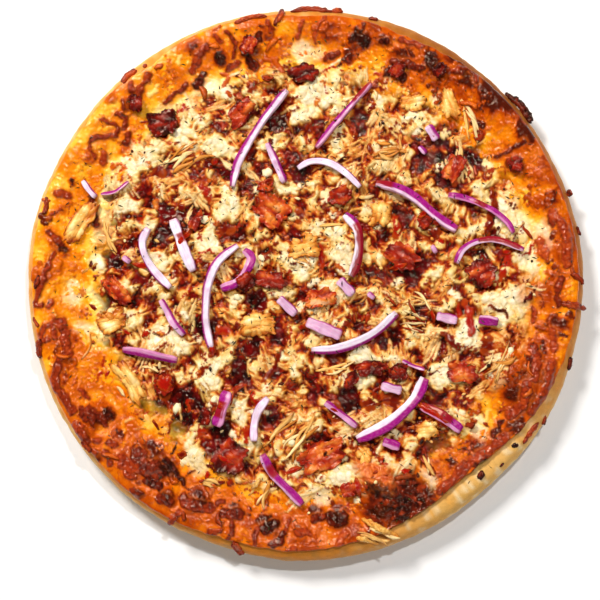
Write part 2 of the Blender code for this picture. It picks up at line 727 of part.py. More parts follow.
def build_pizza():
    clear_scene()
    pizza = bpy.data.collections.new("pan_pizza")
    bpy.context.scene.collection.children.link(pizza)
    small_pieces = bpy.data.collections.new("fused_pieces")
    bpy.context.scene.collection.children.link(small_pieces)

    crust = build_crust(pizza, material("baked_dough", DOUGH_LOOK))
    cheese = build_cheese(pizza, material("melted_cheese", CHEESE_LOOK))
    bare = Ground(cheese)

    onion_look = material("red_onion", ONION_LOOK)
    bacon_look = material("fried_bacon", BACON_LOOK)
    chicken_look = material("roast_chicken", CHICKEN_LOOK)
    toppings = []
    for index, (line, width, roll) in enumerate(ONIONS, start=1):
        toppings.append(build_onion(f"onion_{index:02d}", line, width, roll, bare, pizza, onion_look))
    for index, shape in enumerate(BACON, start=1):
        toppings.append(build_bacon(f"bacon_{index:02d}", shape, index, bare, pizza, bacon_look))
    for index, shape in enumerate(CHICKEN, start=1):
        toppings.append(build_chicken(f"chicken_{index:02d}", shape, index, bare, pizza, chicken_look))
    for piece in toppings:
        triangulate(piece)

    topping_tree = tree_of(toppings)
    scatter_shreds(bare, topping_tree, small_pieces)
    add_rim_strands(bare, topping_tree, small_pieces)
    fuse(cheese, small_pieces)
    triangulate(crust)


build_pizza()
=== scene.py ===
import math
import random

import bmesh
import bpy
import numpy as np
from mathutils import Matrix, Vector, noise


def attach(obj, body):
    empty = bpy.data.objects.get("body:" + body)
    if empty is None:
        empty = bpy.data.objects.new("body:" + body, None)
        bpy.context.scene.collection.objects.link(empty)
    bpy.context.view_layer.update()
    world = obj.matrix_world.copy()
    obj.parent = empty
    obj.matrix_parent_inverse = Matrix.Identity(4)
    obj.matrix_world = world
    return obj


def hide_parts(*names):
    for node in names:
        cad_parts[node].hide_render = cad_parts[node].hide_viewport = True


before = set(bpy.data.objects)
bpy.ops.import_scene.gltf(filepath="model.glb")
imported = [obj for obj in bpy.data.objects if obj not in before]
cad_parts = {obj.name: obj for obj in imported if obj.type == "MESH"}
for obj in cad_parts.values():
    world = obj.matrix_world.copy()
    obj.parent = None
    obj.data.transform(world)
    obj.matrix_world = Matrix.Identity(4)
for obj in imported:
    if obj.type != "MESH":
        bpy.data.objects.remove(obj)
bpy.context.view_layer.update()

# The crust is one disc of risen dough, baked in an oiled pan. Its underside is flat and fried, its wall is
# round, and a lip rises about the hollow that holds the cheese. Oil and heat have coloured it golden, and the
# front right, where flour still clings to it, has stayed pale.
radius = 0.150
crust_top_section = [(0.0, 0.012), (0.80, 0.012), (0.86, 0.0146), (0.91, 0.0178), (0.945, 0.0192),
                     (0.975, 0.0181), (0.993, 0.0148), (1.0, 0.0105)]
crust_wall_section = [(0.995, 0.0050), (0.981, 0.0013), (0.966, 0.0)]
crust_directions = 480
smooth_steps = 5


def srgb(red, green, blue):
    """A linear colour from one read as 0 to 255."""
    shares = np.array([red, green, blue]) / 255.0
    return np.where(shares <= 0.04045, shares / 12.92, ((shares + 0.055) / 1.055) ** 2.4)


def ease(low, high, value):
    """A smooth step from 0 at low to 1 at high."""
    share = np.clip((np.asarray(value, dtype=float) - low) / (high - low), 0.0, 1.0)
    return share * share * (3.0 - 2.0 * share)


def mix(under, over, share):
    """One colour laid over another by a share, for any number of places."""
    share = np.asarray(share, dtype=float)[..., None]
    return under * (1.0 - share) + over * share


def scrambled(column, row, seed):
    """A whole number of 32 bits for each cell of a square grid, as good as a draw."""
    mixed = (column * 374761393 + row * 668265263 + seed * 1442695041) & 0xFFFFFFFF
    mixed = ((mixed ^ (mixed >> 13)) * 1274126177) & 0xFFFFFFFF
    return mixed ^ (mixed >> 16)


def grain(x, y, size, seed):
    """Smooth noise of about -1 to 1 with lumps of one size."""
    u, v = np.asarray(x) / size, np.asarray(y) / size
    column, row = np.floor(u).astype(np.int64), np.floor(v).astype(np.int64)
    across, up = u - column, v - row

    def pull(step_x, step_y):
        turn = scrambled(column + step_x, row + step_y, seed) * (2.0 * math.pi / 0xFFFFFFFF)
        return np.cos(turn) * (across - step_x) + np.sin(turn) * (up - step_y)

    fade_x = across ** 3 * (across * (across * 6.0 - 15.0) + 10.0)
    fade_y = up ** 3 * (up * (up * 6.0 - 15.0) + 10.0)
    low = pull(0, 0) + fade_x * (pull(1, 0) - pull(0, 0))
    high = pull(0, 1) + fade_x * (pull(1, 1) - pull(0, 1))
    return 1.5 * (low + fade_y * (high - low))


def mottle(x, y, size, seed, octaves=3):
    """Noise with finer and weaker lumps on top of coarse ones."""
    total = sum(grain(x, y, size / 2.0 ** step, seed + 17 * step) / 2.0 ** step for step in range(octaves))
    return total / (2.0 - 0.5 ** (octaves - 1))


def cells(x, y, size, seed):
    """Distance to the nearest and next of scattered centres, in cell sizes, and a chance number of the nearest."""
    u, v = np.asarray(x) / size, np.asarray(y) / size
    column, row = np.floor(u).astype(np.int64), np.floor(v).astype(np.int64)
    first, second, chance = np.full(u.shape, 9.0), np.full(u.shape, 9.0), np.zeros(u.shape)
    for step_x in (-1, 0, 1):
        for step_y in (-1, 0, 1):
            mixed = scrambled(column + step_x, row + step_y, seed)
            at_x = column + step_x + 0.1 + 0.8 * (mixed & 1023) / 1023.0
            at_y = row + step_y + 0.1 + 0.8 * ((mixed >> 10) & 1023) / 1023.0
            away = np.hypot(u - at_x, v - at_y)
            nearer = away < first
            second = np.where(nearer, first, np.minimum(second, away))
            chance = np.where(nearer, ((mixed >> 20) & 1023) / 1023.0, chance)
            first = np.where(nearer, away, first)
    return first, second, chance


def bump_at(degrees, middle, half_width):
    away = (np.asarray(degrees) - middle + 180.0) % 360.0 - 180.0
    return np.exp(-((away / half_width) ** 2))


def outline_factor(degrees):
    """The outline's radius against a true circle."""
    turn = np.radians(degrees)
    ripple = 0.0018 * np.sin(7.0 * turn) + 0.0012 * np.sin(11.0 * turn + math.radians(40.0))
    oval = 0.004 * np.cos(2.0 * (turn - math.radians(165.0)))
    slipped = 0.005 + 0.0145 * np.cos(turn - math.radians(155.0))
    return 1.0 + oval + ripple + slipped - 0.016 * bump_at(degrees, 312.0, 20.0)


def crust_top(share):
    shares, heights = zip(*crust_top_section)
    return np.interp(share, shares, heights)


def polar(x, y):
    """Share of the outline's radius and direction in degrees."""
    degrees = np.degrees(np.arctan2(y, x)) % 360.0
    return np.hypot(x, y) / (radius * outline_factor(degrees)), degrees


def rounded(points, steps):
    """A smooth line through points, with this many steps between each two."""
    held = np.array([points[0]] + list(points) + [points[-1]], dtype=float)
    line = []
    for before, start, end, after in zip(held, held[1:], held[2:], held[3:]):
        for t in np.arange(steps) / steps:
            line.append(0.5 * (2.0 * start + (end - before) * t
                               + (2.0 * before - 5.0 * start + 4.0 * end - after) * t * t
                               + (3.0 * start - before - 3.0 * end + after) * t ** 3))
    line.append(held[-1])
    return np.array(line)


def read_places(piece):
    places = np.empty(len(piece.data.vertices) * 3)
    piece.data.vertices.foreach_get("co", places)
    return places.reshape(-1, 3)


def write_places(piece, places):
    piece.data.vertices.foreach_set("co", np.ascontiguousarray(places, dtype=float).ravel())
    piece.data.update()


def paint(piece, name, colours):
    """Stores a linear colour on each vertex."""
    layer = piece.data.attributes.new(name, "FLOAT_COLOR", "POINT")
    filled = np.ones((len(colours), 4))
    filled[:, :3] = np.clip(colours, 0.0, 1.0)
    layer.data.foreach_set("color", filled.ravel())


def mark(piece, name, values):
    """Stores a number on each vertex."""
    layer = piece.data.attributes.new(name, "FLOAT", "POINT")
    layer.data.foreach_set("value", np.ascontiguousarray(values, dtype=float))


def dress(piece, look, slot, *nodes):
    """Gives a finished piece its material and its place in the frame, for the solids it stands for."""
    piece.data.materials.clear()
    piece.data.materials.append(look)
    piece.data.shade_smooth()
    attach(piece, "root")
    if nodes:
        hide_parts(*nodes)


def new_piece(name, places, faces):
    mesh = bpy.data.meshes.new(name)
    mesh.from_pydata(places, [], faces)
    mesh.update()
    piece = bpy.data.objects.new(name, mesh)
    bpy.context.scene.collection.objects.link(piece)
    return piece


def add_node(tree, kind, **settings):
    made = tree.nodes.new(kind)
    for key, value in settings.items():
        setattr(made, key, value)
    return made


# Food is never one even colour: this group breaks a colour up with darker and lighter specks, and gives the
# matching roughness and relief.
def make_mottling_group():
    group = bpy.data.node_groups.new("Food mottling", "ShaderNodeTree")
    face = group.interface
    face.new_socket(name="Colour", in_out="INPUT", socket_type="NodeSocketColor")
    face.new_socket(name="Place", in_out="INPUT", socket_type="NodeSocketVector")
    for label, value in (("Coarse", 300.0), ("Fine", 1500.0), ("Strength", 0.3), ("Roughness", 0.4),
                         ("Sheen spread", 0.2)):
        socket = face.new_socket(name=label, in_out="INPUT", socket_type="NodeSocketFloat")
        socket.default_value = value
    face.new_socket(name="Colour", in_out="OUTPUT", socket_type="NodeSocketColor")
    face.new_socket(name="Roughness", in_out="OUTPUT", socket_type="NodeSocketFloat")
    face.new_socket(name="Height", in_out="OUTPUT", socket_type="NodeSocketFloat")
    given = add_node(group, "NodeGroupInput")
    result = add_node(group, "NodeGroupOutput")
    coarse = add_node(group, "ShaderNodeTexNoise")
    coarse.inputs["Detail"].default_value = 3.0
    fine = add_node(group, "ShaderNodeTexNoise")
    fine.inputs["Detail"].default_value = 2.0
    group.links.new(given.outputs["Place"], coarse.inputs["Vector"])
    group.links.new(given.outputs["Place"], fine.inputs["Vector"])
    group.links.new(given.outputs["Coarse"], coarse.inputs["Scale"])
    group.links.new(given.outputs["Fine"], fine.inputs["Scale"])
    both = add_node(group, "ShaderNodeMath", operation="ADD")
    group.links.new(coarse.outputs["Fac"], both.inputs[0])
    group.links.new(fine.outputs["Fac"], both.inputs[1])
    centred = add_node(group, "ShaderNodeMath", operation="SUBTRACT")
    centred.inputs[1].default_value = 1.0
    group.links.new(both.outputs[0], centred.inputs[0])
    swing = add_node(group, "ShaderNodeMath", operation="MULTIPLY")
    group.links.new(centred.outputs[0], swing.inputs[0])
    group.links.new(given.outputs["Strength"], swing.inputs[1])
    factor = add_node(group, "ShaderNodeMath", operation="MULTIPLY_ADD")
    factor.inputs[1].default_value = 2.6
    factor.inputs[2].default_value = 1.0
    group.links.new(swing.outputs[0], factor.inputs[0])
    tinted = add_node(group, "ShaderNodeVectorMath", operation="SCALE")
    group.links.new(given.outputs["Colour"], tinted.inputs[0])
    group.links.new(factor.outputs[0], tinted.inputs["Scale"])
    group.links.new(tinted.outputs[0], result.inputs["Colour"])
    spread = add_node(group, "ShaderNodeMath", operation="MULTIPLY_ADD", use_clamp=True)
    group.links.new(centred.outputs[0], spread.inputs[0])
    group.links.new(given.outputs["Sheen spread"], spread.inputs[1])
    group.links.new(given.outputs["Roughness"], spread.inputs[2])
    group.links.new(spread.outputs[0], result.inputs["Roughness"])
    group.links.new(both.outputs[0], result.inputs["Height"])
    return group


mottling_group = make_mottling_group()
bump_depth = 0.0004


def food_material(name, coarse, fine, strength, roughness, sheen_spread, bump, coat=0.0, place="Object",
                  soft=0.0):
    """A food surface: its painted colour and gloss, broken up by the mottling group."""
    look = bpy.data.materials.new(name)
    look.use_nodes = True
    tree = look.node_tree
    surface = tree.nodes["Principled BSDF"]
    painted = add_node(tree, "ShaderNodeAttribute", attribute_name="tint")
    mottled = add_node(tree, "ShaderNodeGroup", node_tree=mottling_group)
    for label, value in (("Coarse", coarse), ("Fine", fine), ("Strength", strength), ("Roughness", roughness),
                         ("Sheen spread", sheen_spread)):
        mottled.inputs[label].default_value = value
    tree.links.new(painted.outputs["Color"], mottled.inputs["Colour"])
    if place == "Object":
        where = add_node(tree, "ShaderNodeTexCoord")
        tree.links.new(where.outputs["Object"], mottled.inputs["Place"])
    else:
        where = add_node(tree, "ShaderNodeAttribute", attribute_name=place)
        tree.links.new(where.outputs["Vector"], mottled.inputs["Place"])
    tree.links.new(mottled.outputs["Colour"], surface.inputs["Base Color"])
    tree.links.new(mottled.outputs["Roughness"], surface.inputs["Roughness"])
    relief = add_node(tree, "ShaderNodeBump")
    relief.inputs["Strength"].default_value = bump
    relief.inputs["Distance"].default_value = bump_depth
    tree.links.new(mottled.outputs["Height"], relief.inputs["Height"])
    tree.links.new(relief.outputs["Normal"], surface.inputs["Normal"])
    surface.inputs["Specular IOR Level"].default_value = 0.30
    surface.inputs["Specular Tint"].default_value = (1.0, 0.80, 0.60, 1.0)
    surface.inputs["Coat Weight"].default_value = coat
    surface.inputs["Coat Roughness"].default_value = 0.12
    if soft > 0.0:
        surface.inputs["Subsurface Weight"].default_value = soft
        surface.inputs["Subsurface Radius"].default_value = (1.0, 0.45, 0.20)
        surface.inputs["Subsurface Scale"].default_value = 0.002
    return look


section = np.vstack([
    rounded(crust_top_section[1:] + crust_wall_section, smooth_steps),
    [(share, 0.0) for share in (0.90, 0.75, 0.50, 0.25, 0.0)],
])
section = np.vstack([[(0.0, 0.012), (0.4, 0.012)], section])
profile = [(share * radius, 0.0, max(0.0, height)) for share, height in section]


def turn_section(name, line, closed, steps, merge_gap):
    """Turns a line of places about the upright axis into one surface."""
    piece = new_piece(name, line, [])
    edges = len(line) if closed else len(line) - 1
    piece.data.edges.add(edges)
    piece.data.edges.foreach_set("vertices", [end for step in range(edges) for end in (step, (step + 1) % len(line))])
    bpy.ops.object.select_all(action="DESELECT")
    bpy.context.view_layer.objects.active = piece
    piece.select_set(True)
    turn = piece.modifiers.new("turn", "SCREW")
    turn.steps = turn.render_steps = steps
    turn.use_merge_vertices = True
    turn.merge_threshold = merge_gap
    bpy.ops.object.modifier_apply(modifier="turn")
    return piece


crust = turn_section("crust_dough", profile, False, crust_directions, 0.00002)
places = read_places(crust)
degrees = polar(places[:, 0], places[:, 1])[1]
share = np.hypot(places[:, 0], places[:, 1]) / radius
turned = np.radians(degrees)
arc = turned * radius
outside = ease(0.88, 0.97, share)
under = ease(0.0012, 0.0, places[:, 2]) * ease(0.985, 0.95, share)
swell = 0.0006 * mottle(arc, places[:, 2] + share * 0.1, 0.016, 5) + 0.00022 * grain(arc, places[:, 2], 0.004, 9)
flour_side = bump_at(degrees, 312.0, 26.0)
swell += flour_side * outside * 0.0005 * np.abs(grain(arc, places[:, 2], 0.0035, 31))
growth = outline_factor(degrees) * (1.0 + swell * outside / radius)
places[:, 0] *= growth
places[:, 1] *= growth
places[:, 2] += np.where(places[:, 2] > 0.002, swell * outside * 0.5, 0.0)
write_places(crust, places)

cream_dough = srgb(244, 204, 128)
golden_dough = srgb(236, 160, 50)
olive_dough = srgb(168, 100, 26)
tan_dough = srgb(220, 172, 90)
fried_dough = srgb(176, 112, 48)
scorched_dough = srgb(104, 56, 24)
rim_tone = mix(np.broadcast_to(cream_dough, (len(places), 3)), olive_dough, bump_at(degrees, 58.0, 36.0))
rim_tone = mix(rim_tone, srgb(196, 116, 30), 0.9 * bump_at(degrees, 8.0, 34.0))
rim_tone = mix(rim_tone, tan_dough, 0.9 * bump_at(degrees, 305.0, 28.0))
rim_tone = mix(rim_tone, srgb(160, 104, 36), 0.9 * bump_at(degrees, 268.0, 28.0))
wall = ease(0.0150, 0.0090, places[:, 2]) * outside
tone = mix(rim_tone, mix(np.broadcast_to(cream_dough, rim_tone.shape), golden_dough,
                         np.clip(0.45 + 0.5 * mottle(arc, places[:, 2], 0.012, 3), 0.0, 1.0)), 0.60 * wall)
browning = ease(0.0060, 0.0005, places[:, 2] + 0.0025 * mottle(arc, places[:, 2], 0.010, 77))
tone = mix(tone, fried_dough, browning)
spots = ease(0.25, 0.60, mottle(places[:, 0], places[:, 1], 0.012, 41))
tone = mix(tone, scorched_dough, spots * np.clip(browning + under, 0.0, 1.0) * 0.6)
tone = mix(tone, golden_dough, outside * 0.5 * ease(0.1, 0.6, mottle(arc, places[:, 2] * 2.0, 0.007, 52)))
stained = ease(1.004, 0.985, share) * ease(0.0075, 0.0140, places[:, 2])
stained *= 1.0 - 0.85 * bump_at(degrees, 308.0, 30.0)
stain = mix(np.broadcast_to(srgb(226, 132, 16), tone.shape), srgb(118, 54, 8), 0.95 * bump_at(degrees, 46.0, 40.0))
stain = mix(stain, srgb(184, 88, 16), 0.8 * bump_at(degrees, 5.0, 30.0))
tone = mix(tone, stain, 0.92 * stained * np.clip(0.8 + 0.6 * grain(arc, places[:, 2], 0.006, 44), 0.0, 1.0))
flour = flour_side * outside * ease(0.15, 0.5, grain(arc, places[:, 2] * 1.5, 0.0045, 66))
tone = mix(tone, srgb(244, 228, 188), 0.55 * flour)
paint(crust, "tint", tone)
dough_look = food_material("Baked dough", 420.0, 2400.0, 0.16, 0.62, 0.15, 0.35)
dress(crust, dough_look, "baked_dough", "crust")

# The melted cheese is one layer, orange cheddar and browned bubbles towards the rim, and cream mozzarella and
# dark sauce towards the middle. It filled the crust's hollow, ran over the lip and blistered in the heat.
cheese_depth = 0.0052
cheese_depth_at_lip = 0.0026
cheese_edge_share = 0.976
# Where dough shows past the cheese: direction, how deep as a share of the radius, and half width in degrees
bare_dough = [(311.0, 0.064, 18.0), (336.0, 0.015, 12.0), (288.0, 0.026, 14.0), (262.0, 0.020, 16.0),
              (67.0, 0.020, 10.0), (91.0, 0.012, 5.0), (126.0, 0.020, 6.0)]
# Blisters that rise from the layer: place, reach and rise
blisters = [((0.0420, -0.1080), 0.022, 0.0080), ((0.1130, -0.0500), 0.024, 0.0060),
            ((-0.0860, -0.0955), 0.013, 0.0034), ((-0.1150, -0.0705), 0.010, 0.0026),
            ((-0.1210, -0.0815), 0.007, 0.0020), ((-0.0740, -0.1130), 0.007, 0.0020),
            ((0.0665, 0.1170), 0.009, 0.0022), ((0.1160, 0.0000), 0.012, 0.0020)]
# Pools of mozzarella: place, long and short half sizes, and turn in degrees
cream_pools = [
    (-0.063, 0.086, 0.0092, 0.0065, 60), (-0.093, 0.066, 0.0108, 0.0065, 20), (-0.100, 0.041, 0.0075, 0.0055, 0),
    (-0.076, -0.029, 0.0100, 0.0085, -30), (-0.048, 0.075, 0.0065, 0.0045, 60), (0.006, 0.105, 0.0150, 0.0075, 10),
    (-0.004, 0.093, 0.0085, 0.0055, 0), (0.107, 0.037, 0.0120, 0.0075, -30), (0.109, -0.013, 0.0110, 0.0092, 0),
    (0.008, -0.114, 0.0070, 0.0050, 0), (0.021, -0.102, 0.0100, 0.0050, 20), (0.090, -0.076, 0.0120, 0.0050, -35),
    (0.067, -0.107, 0.0075, 0.0033, -50), (0.028, -0.039, 0.0050, 0.0045, 0), (0.020, 0.014, 0.0045, 0.0085, 0),
    (-0.054, 0.021, 0.0065, 0.0065, 0), (-0.043, 0.041, 0.0055, 0.0065, 0), (0.015, 0.028, 0.0048, 0.0055, 0),
    (-0.004, 0.011, 0.0085, 0.0065, 0), (0.015, -0.003, 0.0075, 0.0045, 0), (-0.028, 0.010, 0.0045, 0.0055, 0),
    (-0.055, -0.049, 0.0065, 0.0085, 0), (0.031, -0.051, 0.0075, 0.0045, 0), (0.121, 0.012, 0.0075, 0.0110, 10),
    (0.127, 0.025, 0.0055, 0.0085, 0), (0.088, -0.027, 0.0055, 0.0085, 0), (0.072, -0.048, 0.0075, 0.0055, 0),
    (-0.127, -0.003, 0.0055, 0.0075, 0), (-0.112, 0.012, 0.0065, 0.0045, 0), (-0.119, -0.025, 0.0038, 0.0098, 70),
    (-0.054, 0.109, 0.0075, 0.0045, 0), (-0.001, 0.127, 0.0085, 0.0060, 0), (-0.044, 0.104, 0.0050, 0.0040, 0),
    (-0.037, -0.068, 0.0045, 0.0085, 0), (-0.060, -0.096, 0.0045, 0.0080, 30), (0.072, 0.100, 0.0060, 0.0040, 0),
    (0.062, 0.090, 0.0080, 0.0040, -30), (-0.080, 0.012, 0.0050, 0.0070, 60), (0.098, -0.007, 0.0042, 0.0028, 30),
]
# Browned and burnt bubbles: place, radius, and how burnt, from 0 to 1
browned_bubbles = [
    (0.0466, -0.1130, 0.0205, 0.40), (0.0386, -0.1100, 0.0075, 1.0), (0.0520, -0.1190, 0.0065, 0.85),
    (0.115, -0.049, 0.0225, 0.35), (-0.087, -0.095, 0.0125, 0.50),
    (-0.076, -0.099, 0.0070, 1.0), (-0.115, -0.070, 0.0078, 0.45), (-0.108, -0.070, 0.0045, 0.9),
    (-0.122, -0.080, 0.0050, 0.30), (-0.075, -0.115, 0.0048, 0.8), (-0.060, -0.117, 0.0070, 0.6),
    (-0.056, -0.117, 0.0040, 0.9), (-0.096, -0.093, 0.0055, 0.3), (-0.091, -0.113, 0.0035, 0.6),
    (-0.114, -0.093, 0.0045, 0.4), (-0.132, -0.028, 0.0075, 0.35), (-0.135, -0.051, 0.0070, 0.35),
    (0.029, 0.133, 0.0075, 0.9), (-0.047, 0.123, 0.0050, 0.95), (-0.032, 0.128, 0.0060, 0.7),
    (0.042, 0.132, 0.0040, 0.8), (0.067, 0.121, 0.0060, 0.85), (0.088, 0.114, 0.0075, 0.7),
    (0.113, 0.064, 0.0050, 0.6), (0.126, -0.003, 0.0120, 0.30), (0.137, 0.021, 0.0100, 0.25),
    (0.130, 0.045, 0.0060, 0.35), (0.099, 0.102, 0.0080, 0.55), (-0.020, -0.130, 0.0070, 0.85),
    (-0.039, -0.122, 0.0055, 0.6), (-0.004, -0.133, 0.0040, 0.4), (-0.128, 0.056, 0.0025, 1.0),
    (-0.136, 0.022, 0.0050, 0.5), (-0.133, 0.019, 0.0040, 0.9), (-0.119, 0.069, 0.0035, 0.4),
    (-0.097, 0.075, 0.0050, 0.5), (0.017, -0.126, 0.0060, 0.9), (0.006, -0.123, 0.0050, 0.5),
    (0.037, -0.130, 0.0060, 0.4), (0.067, -0.101, 0.0070, 0.35), (0.080, -0.093, 0.0090, 0.35),
    (0.094, -0.086, 0.0080, 0.30), (0.111, -0.075, 0.0060, 0.45), (0.094, -0.099, 0.0055, 0.9),
    (0.135, -0.022, 0.0060, 0.35), (0.012, 0.137, 0.0060, 0.35), (0.023, 0.124, 0.0050, 0.5),
    (0.050, 0.124, 0.0060, 0.4), (-0.023, 0.137, 0.0050, 0.4), (-0.143, 0.005, 0.0045, 0.45),
    (-0.131, -0.042, 0.0060, 0.35), (-0.102, -0.082, 0.0040, 0.35), (0.118, 0.081, 0.0060, 0.3),
    (-0.061, 0.129, 0.0050, 0.3), (-0.107, 0.102, 0.0040, 0.6), (-0.097, 0.098, 0.0050, 0.6),
]
# Pools of dark sauce between the toppings: place, half sizes and turn in degrees
sauce_pools = [
    (-0.077, -0.054, 0.0070, 0.0062, 0), (-0.073, -0.060, 0.0090, 0.0050, -10), (-0.071, 0.037, 0.0040, 0.0150, 60),
    (-0.080, 0.027, 0.0045, 0.0120, -60), (-0.107, 0.035, 0.0030, 0.0110, -75), (-0.114, -0.033, 0.0060, 0.0080, 60),
    (-0.054, -0.025, 0.0060, 0.0100, 80), (0.080, 0.064, 0.0110, 0.0120, 0), (0.072, 0.073, 0.0080, 0.0080, 0),
    (0.091, 0.067, 0.0080, 0.0040, -30), (0.097, 0.073, 0.0050, 0.0040, 0), (0.076, 0.056, 0.0070, 0.0060, 0),
    (-0.012, 0.094, 0.0090, 0.0050, 60), (-0.016, 0.090, 0.0050, 0.0090, -30), (-0.031, -0.033, 0.0050, 0.0080, 0),
    (-0.036, -0.049, 0.0045, 0.0150, 0), (-0.046, -0.087, 0.0060, 0.0120, 10), (0.005, -0.087, 0.0050, 0.0090, -30),
    (0.045, -0.033, 0.0060, 0.0040, 0), (0.053, 0.007, 0.0090, 0.0060, -20), (0.058, 0.009, 0.0070, 0.0070, 0),
    (-0.027, -0.009, 0.0060, 0.0060, 0), (0.023, -0.060, 0.0040, 0.0060, 0), (-0.063, -0.063, 0.0080, 0.0050, -20),
    (-0.068, -0.076, 0.0050, 0.0080, -45), (-0.085, -0.067, 0.0080, 0.0040, -15), (-0.069, 0.102, 0.0070, 0.0040, 40),
    (-0.004, 0.059, 0.0040, 0.0070, 0), (-0.042, 0.063, 0.0050, 0.0080, 60), (0.072, -0.033, 0.0060, 0.0030, 60),
    (-0.112, -0.010, 0.0050, 0.0060, 0), (-0.106, 0.014, 0.0060, 0.0060, 0), (-0.060, 0.039, 0.0060, 0.0060, 0),
    (0.064, -0.079, 0.0090, 0.0045, -20), (0.072, -0.084, 0.0060, 0.0060, 0), (0.021, -0.066, 0.0060, 0.0080, 0),
]
canvas_step = 0.0004
canvas_reach = 0.160
canvas_line = np.linspace(-canvas_reach, canvas_reach, round(2.0 * canvas_reach / canvas_step) + 1)
canvas_x, canvas_y = np.meshgrid(canvas_line, canvas_line)
canvas_share, canvas_degrees = polar(canvas_x, canvas_y)


def cheese_edge(degrees):
    """How far the cheese reaches, as a share of the outline's radius."""
    degrees = np.atleast_1d(degrees)
    edge = cheese_edge_share - sum(depth * bump_at(degrees, middle, width) for middle, depth, width in bare_dough)
    turns = np.radians(degrees)
    ragged = [noise.noise(Vector((4.0 * math.cos(turn), 4.0 * math.sin(turn), 3.0))) for turn in turns]
    return edge + 0.006 + 0.005 * np.array(ragged)


edge_degrees = np.arange(0.0, 361.0)
edge_table = cheese_edge(edge_degrees)
edge_table += 0.0045 * grain(edge_degrees * radius * math.pi / 180.0, 0.0 * edge_degrees, 0.0075, 11)
edge_table += 0.0035 * grain(edge_degrees * radius * math.pi / 180.0, 0.0 * edge_degrees + 0.1, 0.0035, 12)
edge_table[360] = edge_table[0]


def blot(at_x, at_y, long_half, short_half, turn_degrees, seed, softness=0.35, ragged=0.35):
    """1 inside a ragged ellipse on the canvas, falling softly to 0 outside."""
    turn = math.radians(turn_degrees)
    away_x, away_y = canvas_x - at_x, canvas_y - at_y
    along = (away_x * math.cos(turn) + away_y * math.sin(turn)) / long_half
    across = (away_y * math.cos(turn) - away_x * math.sin(turn)) / short_half
    reach = np.hypot(along, across)
    near = reach < 2.2
    mask = np.zeros_like(reach)
    wobble = ragged * mottle(canvas_x[near], canvas_y[near], 0.8 * min(long_half, short_half) + 0.001, seed)
    mask[near] = ease(1.0 + softness, 1.0 - softness, reach[near] + wobble)
    return mask


def sample(layer, x, y):
    """A canvas layer's value at any place, between its cells."""
    u = np.clip((np.asarray(x) + canvas_reach) / canvas_step, 0.0, len(canvas_line) - 1.001)
    v = np.clip((np.asarray(y) + canvas_reach) / canvas_step, 0.0, len(canvas_line) - 1.001)
    column, row = u.astype(int), v.astype(int)
    across, up = u - column, v - row
    if layer.ndim == 3:
        across, up = across[..., None], up[..., None]
    low = layer[row, column] * (1.0 - across) + layer[row, column + 1] * across
    high = layer[row + 1, column] * (1.0 - across) + layer[row + 1, column + 1] * across
    return low * (1.0 - up) + high * up


def lump_layer(size, depth):
    """The same lumps that the solid cheese has, on every fifth cell and then between them."""
    coarse = canvas_line[::5]
    rows = [[noise.noise(Vector((x / size, y / size, depth))) for x in coarse] for y in coarse]
    by_column = np.array([np.interp(canvas_line, coarse, row) for row in rows])
    return np.array([np.interp(canvas_line, coarse, column) for column in by_column.T]).T


toward_lip = ease(0.72, 0.94, canvas_share)
bare_cheese = crust_top(canvas_share) + cheese_depth + (cheese_depth_at_lip - cheese_depth) * toward_lip
bare_cheese += (0.0013 * lump_layer(0.017, 1.0) + 0.0007 * lump_layer(0.009, 5.0)) * (1.0 - 0.75 * toward_lip)
for (at_x, at_y), reach, rise in blisters:
    away = np.hypot(canvas_x - at_x, canvas_y - at_y) / reach
    bare_cheese += np.where(away < 1.0, rise * (1.0 - away * away) ** 2, 0.0)

# Where each ingredient shows: the cheddar ring is broad on the left and narrow on the right
right_side = bump_at(canvas_degrees, 5.0, 40.0)
ring_starts = 0.77 + 0.05 * right_side - 0.05 * bump_at(canvas_degrees, 215.0, 45.0)
into_ring = canvas_share - ring_starts + 0.07 * mottle(canvas_x, canvas_y, 0.014, 2)
cheddar = ease(-0.04, 0.04, into_ring)
pooled_cream = np.zeros_like(cheddar)
for seed, pool in enumerate(cream_pools):
    pooled_cream = np.maximum(pooled_cream, blot(*pool, seed, 0.6, 0.45))
pooled_sauce = np.zeros_like(cheddar)
for seed, pool in enumerate(sauce_pools):
    pooled_sauce = np.maximum(pooled_sauce, blot(*pool, 100 + seed, 0.25, 0.5))

# The middle is a mosaic: patches of cream curds, chunks of meat with their own grain, and veins of sauce
warp_x = canvas_x + 0.0016 * grain(canvas_x, canvas_y, 0.0060, 301) + 0.0002 * grain(canvas_x, canvas_y, 0.0018, 302)
warp_y = canvas_y + 0.0016 * grain(canvas_x, canvas_y, 0.0060, 303) + 0.0002 * grain(canvas_x, canvas_y, 0.0018, 304)
curd_near, curd_next, curd_chance = cells(warp_x, warp_y, 0.0042, 305)
curd_dome = np.sqrt(np.clip(1.0 - (curd_near / 0.95) ** 2, 0.0, 1.0))
# Painted shade: the creases between the curds, painted darker and olive-tan further below
curd_crease_shade = ease(0.30, 0.0, curd_next - curd_near)
chunk_near, chunk_next, chunk_chance = cells(warp_x, warp_y, 0.0090, 307)
chunk_dome = np.sqrt(np.clip(1.0 - (chunk_near / 0.90) ** 2, 0.0, 1.0))
chunk_crease_shade = ease(0.24, 0.0, chunk_next - chunk_near)
bit_near = cells(warp_x, warp_y, 0.0019, 306)[0]
bit_dome = np.sqrt(np.clip(1.0 - (bit_near / 0.85) ** 2, 0.0, 1.0))
grain_turn = chunk_chance * math.pi
fibre_along = canvas_x * np.cos(grain_turn) + canvas_y * np.sin(grain_turn)
fibre_across = warp_y * np.cos(grain_turn) - warp_x * np.sin(grain_turn)
fibres = grain(fibre_along * 0.22, fibre_across, 0.0013, 309)
middle_zone = 1.0 - cheddar
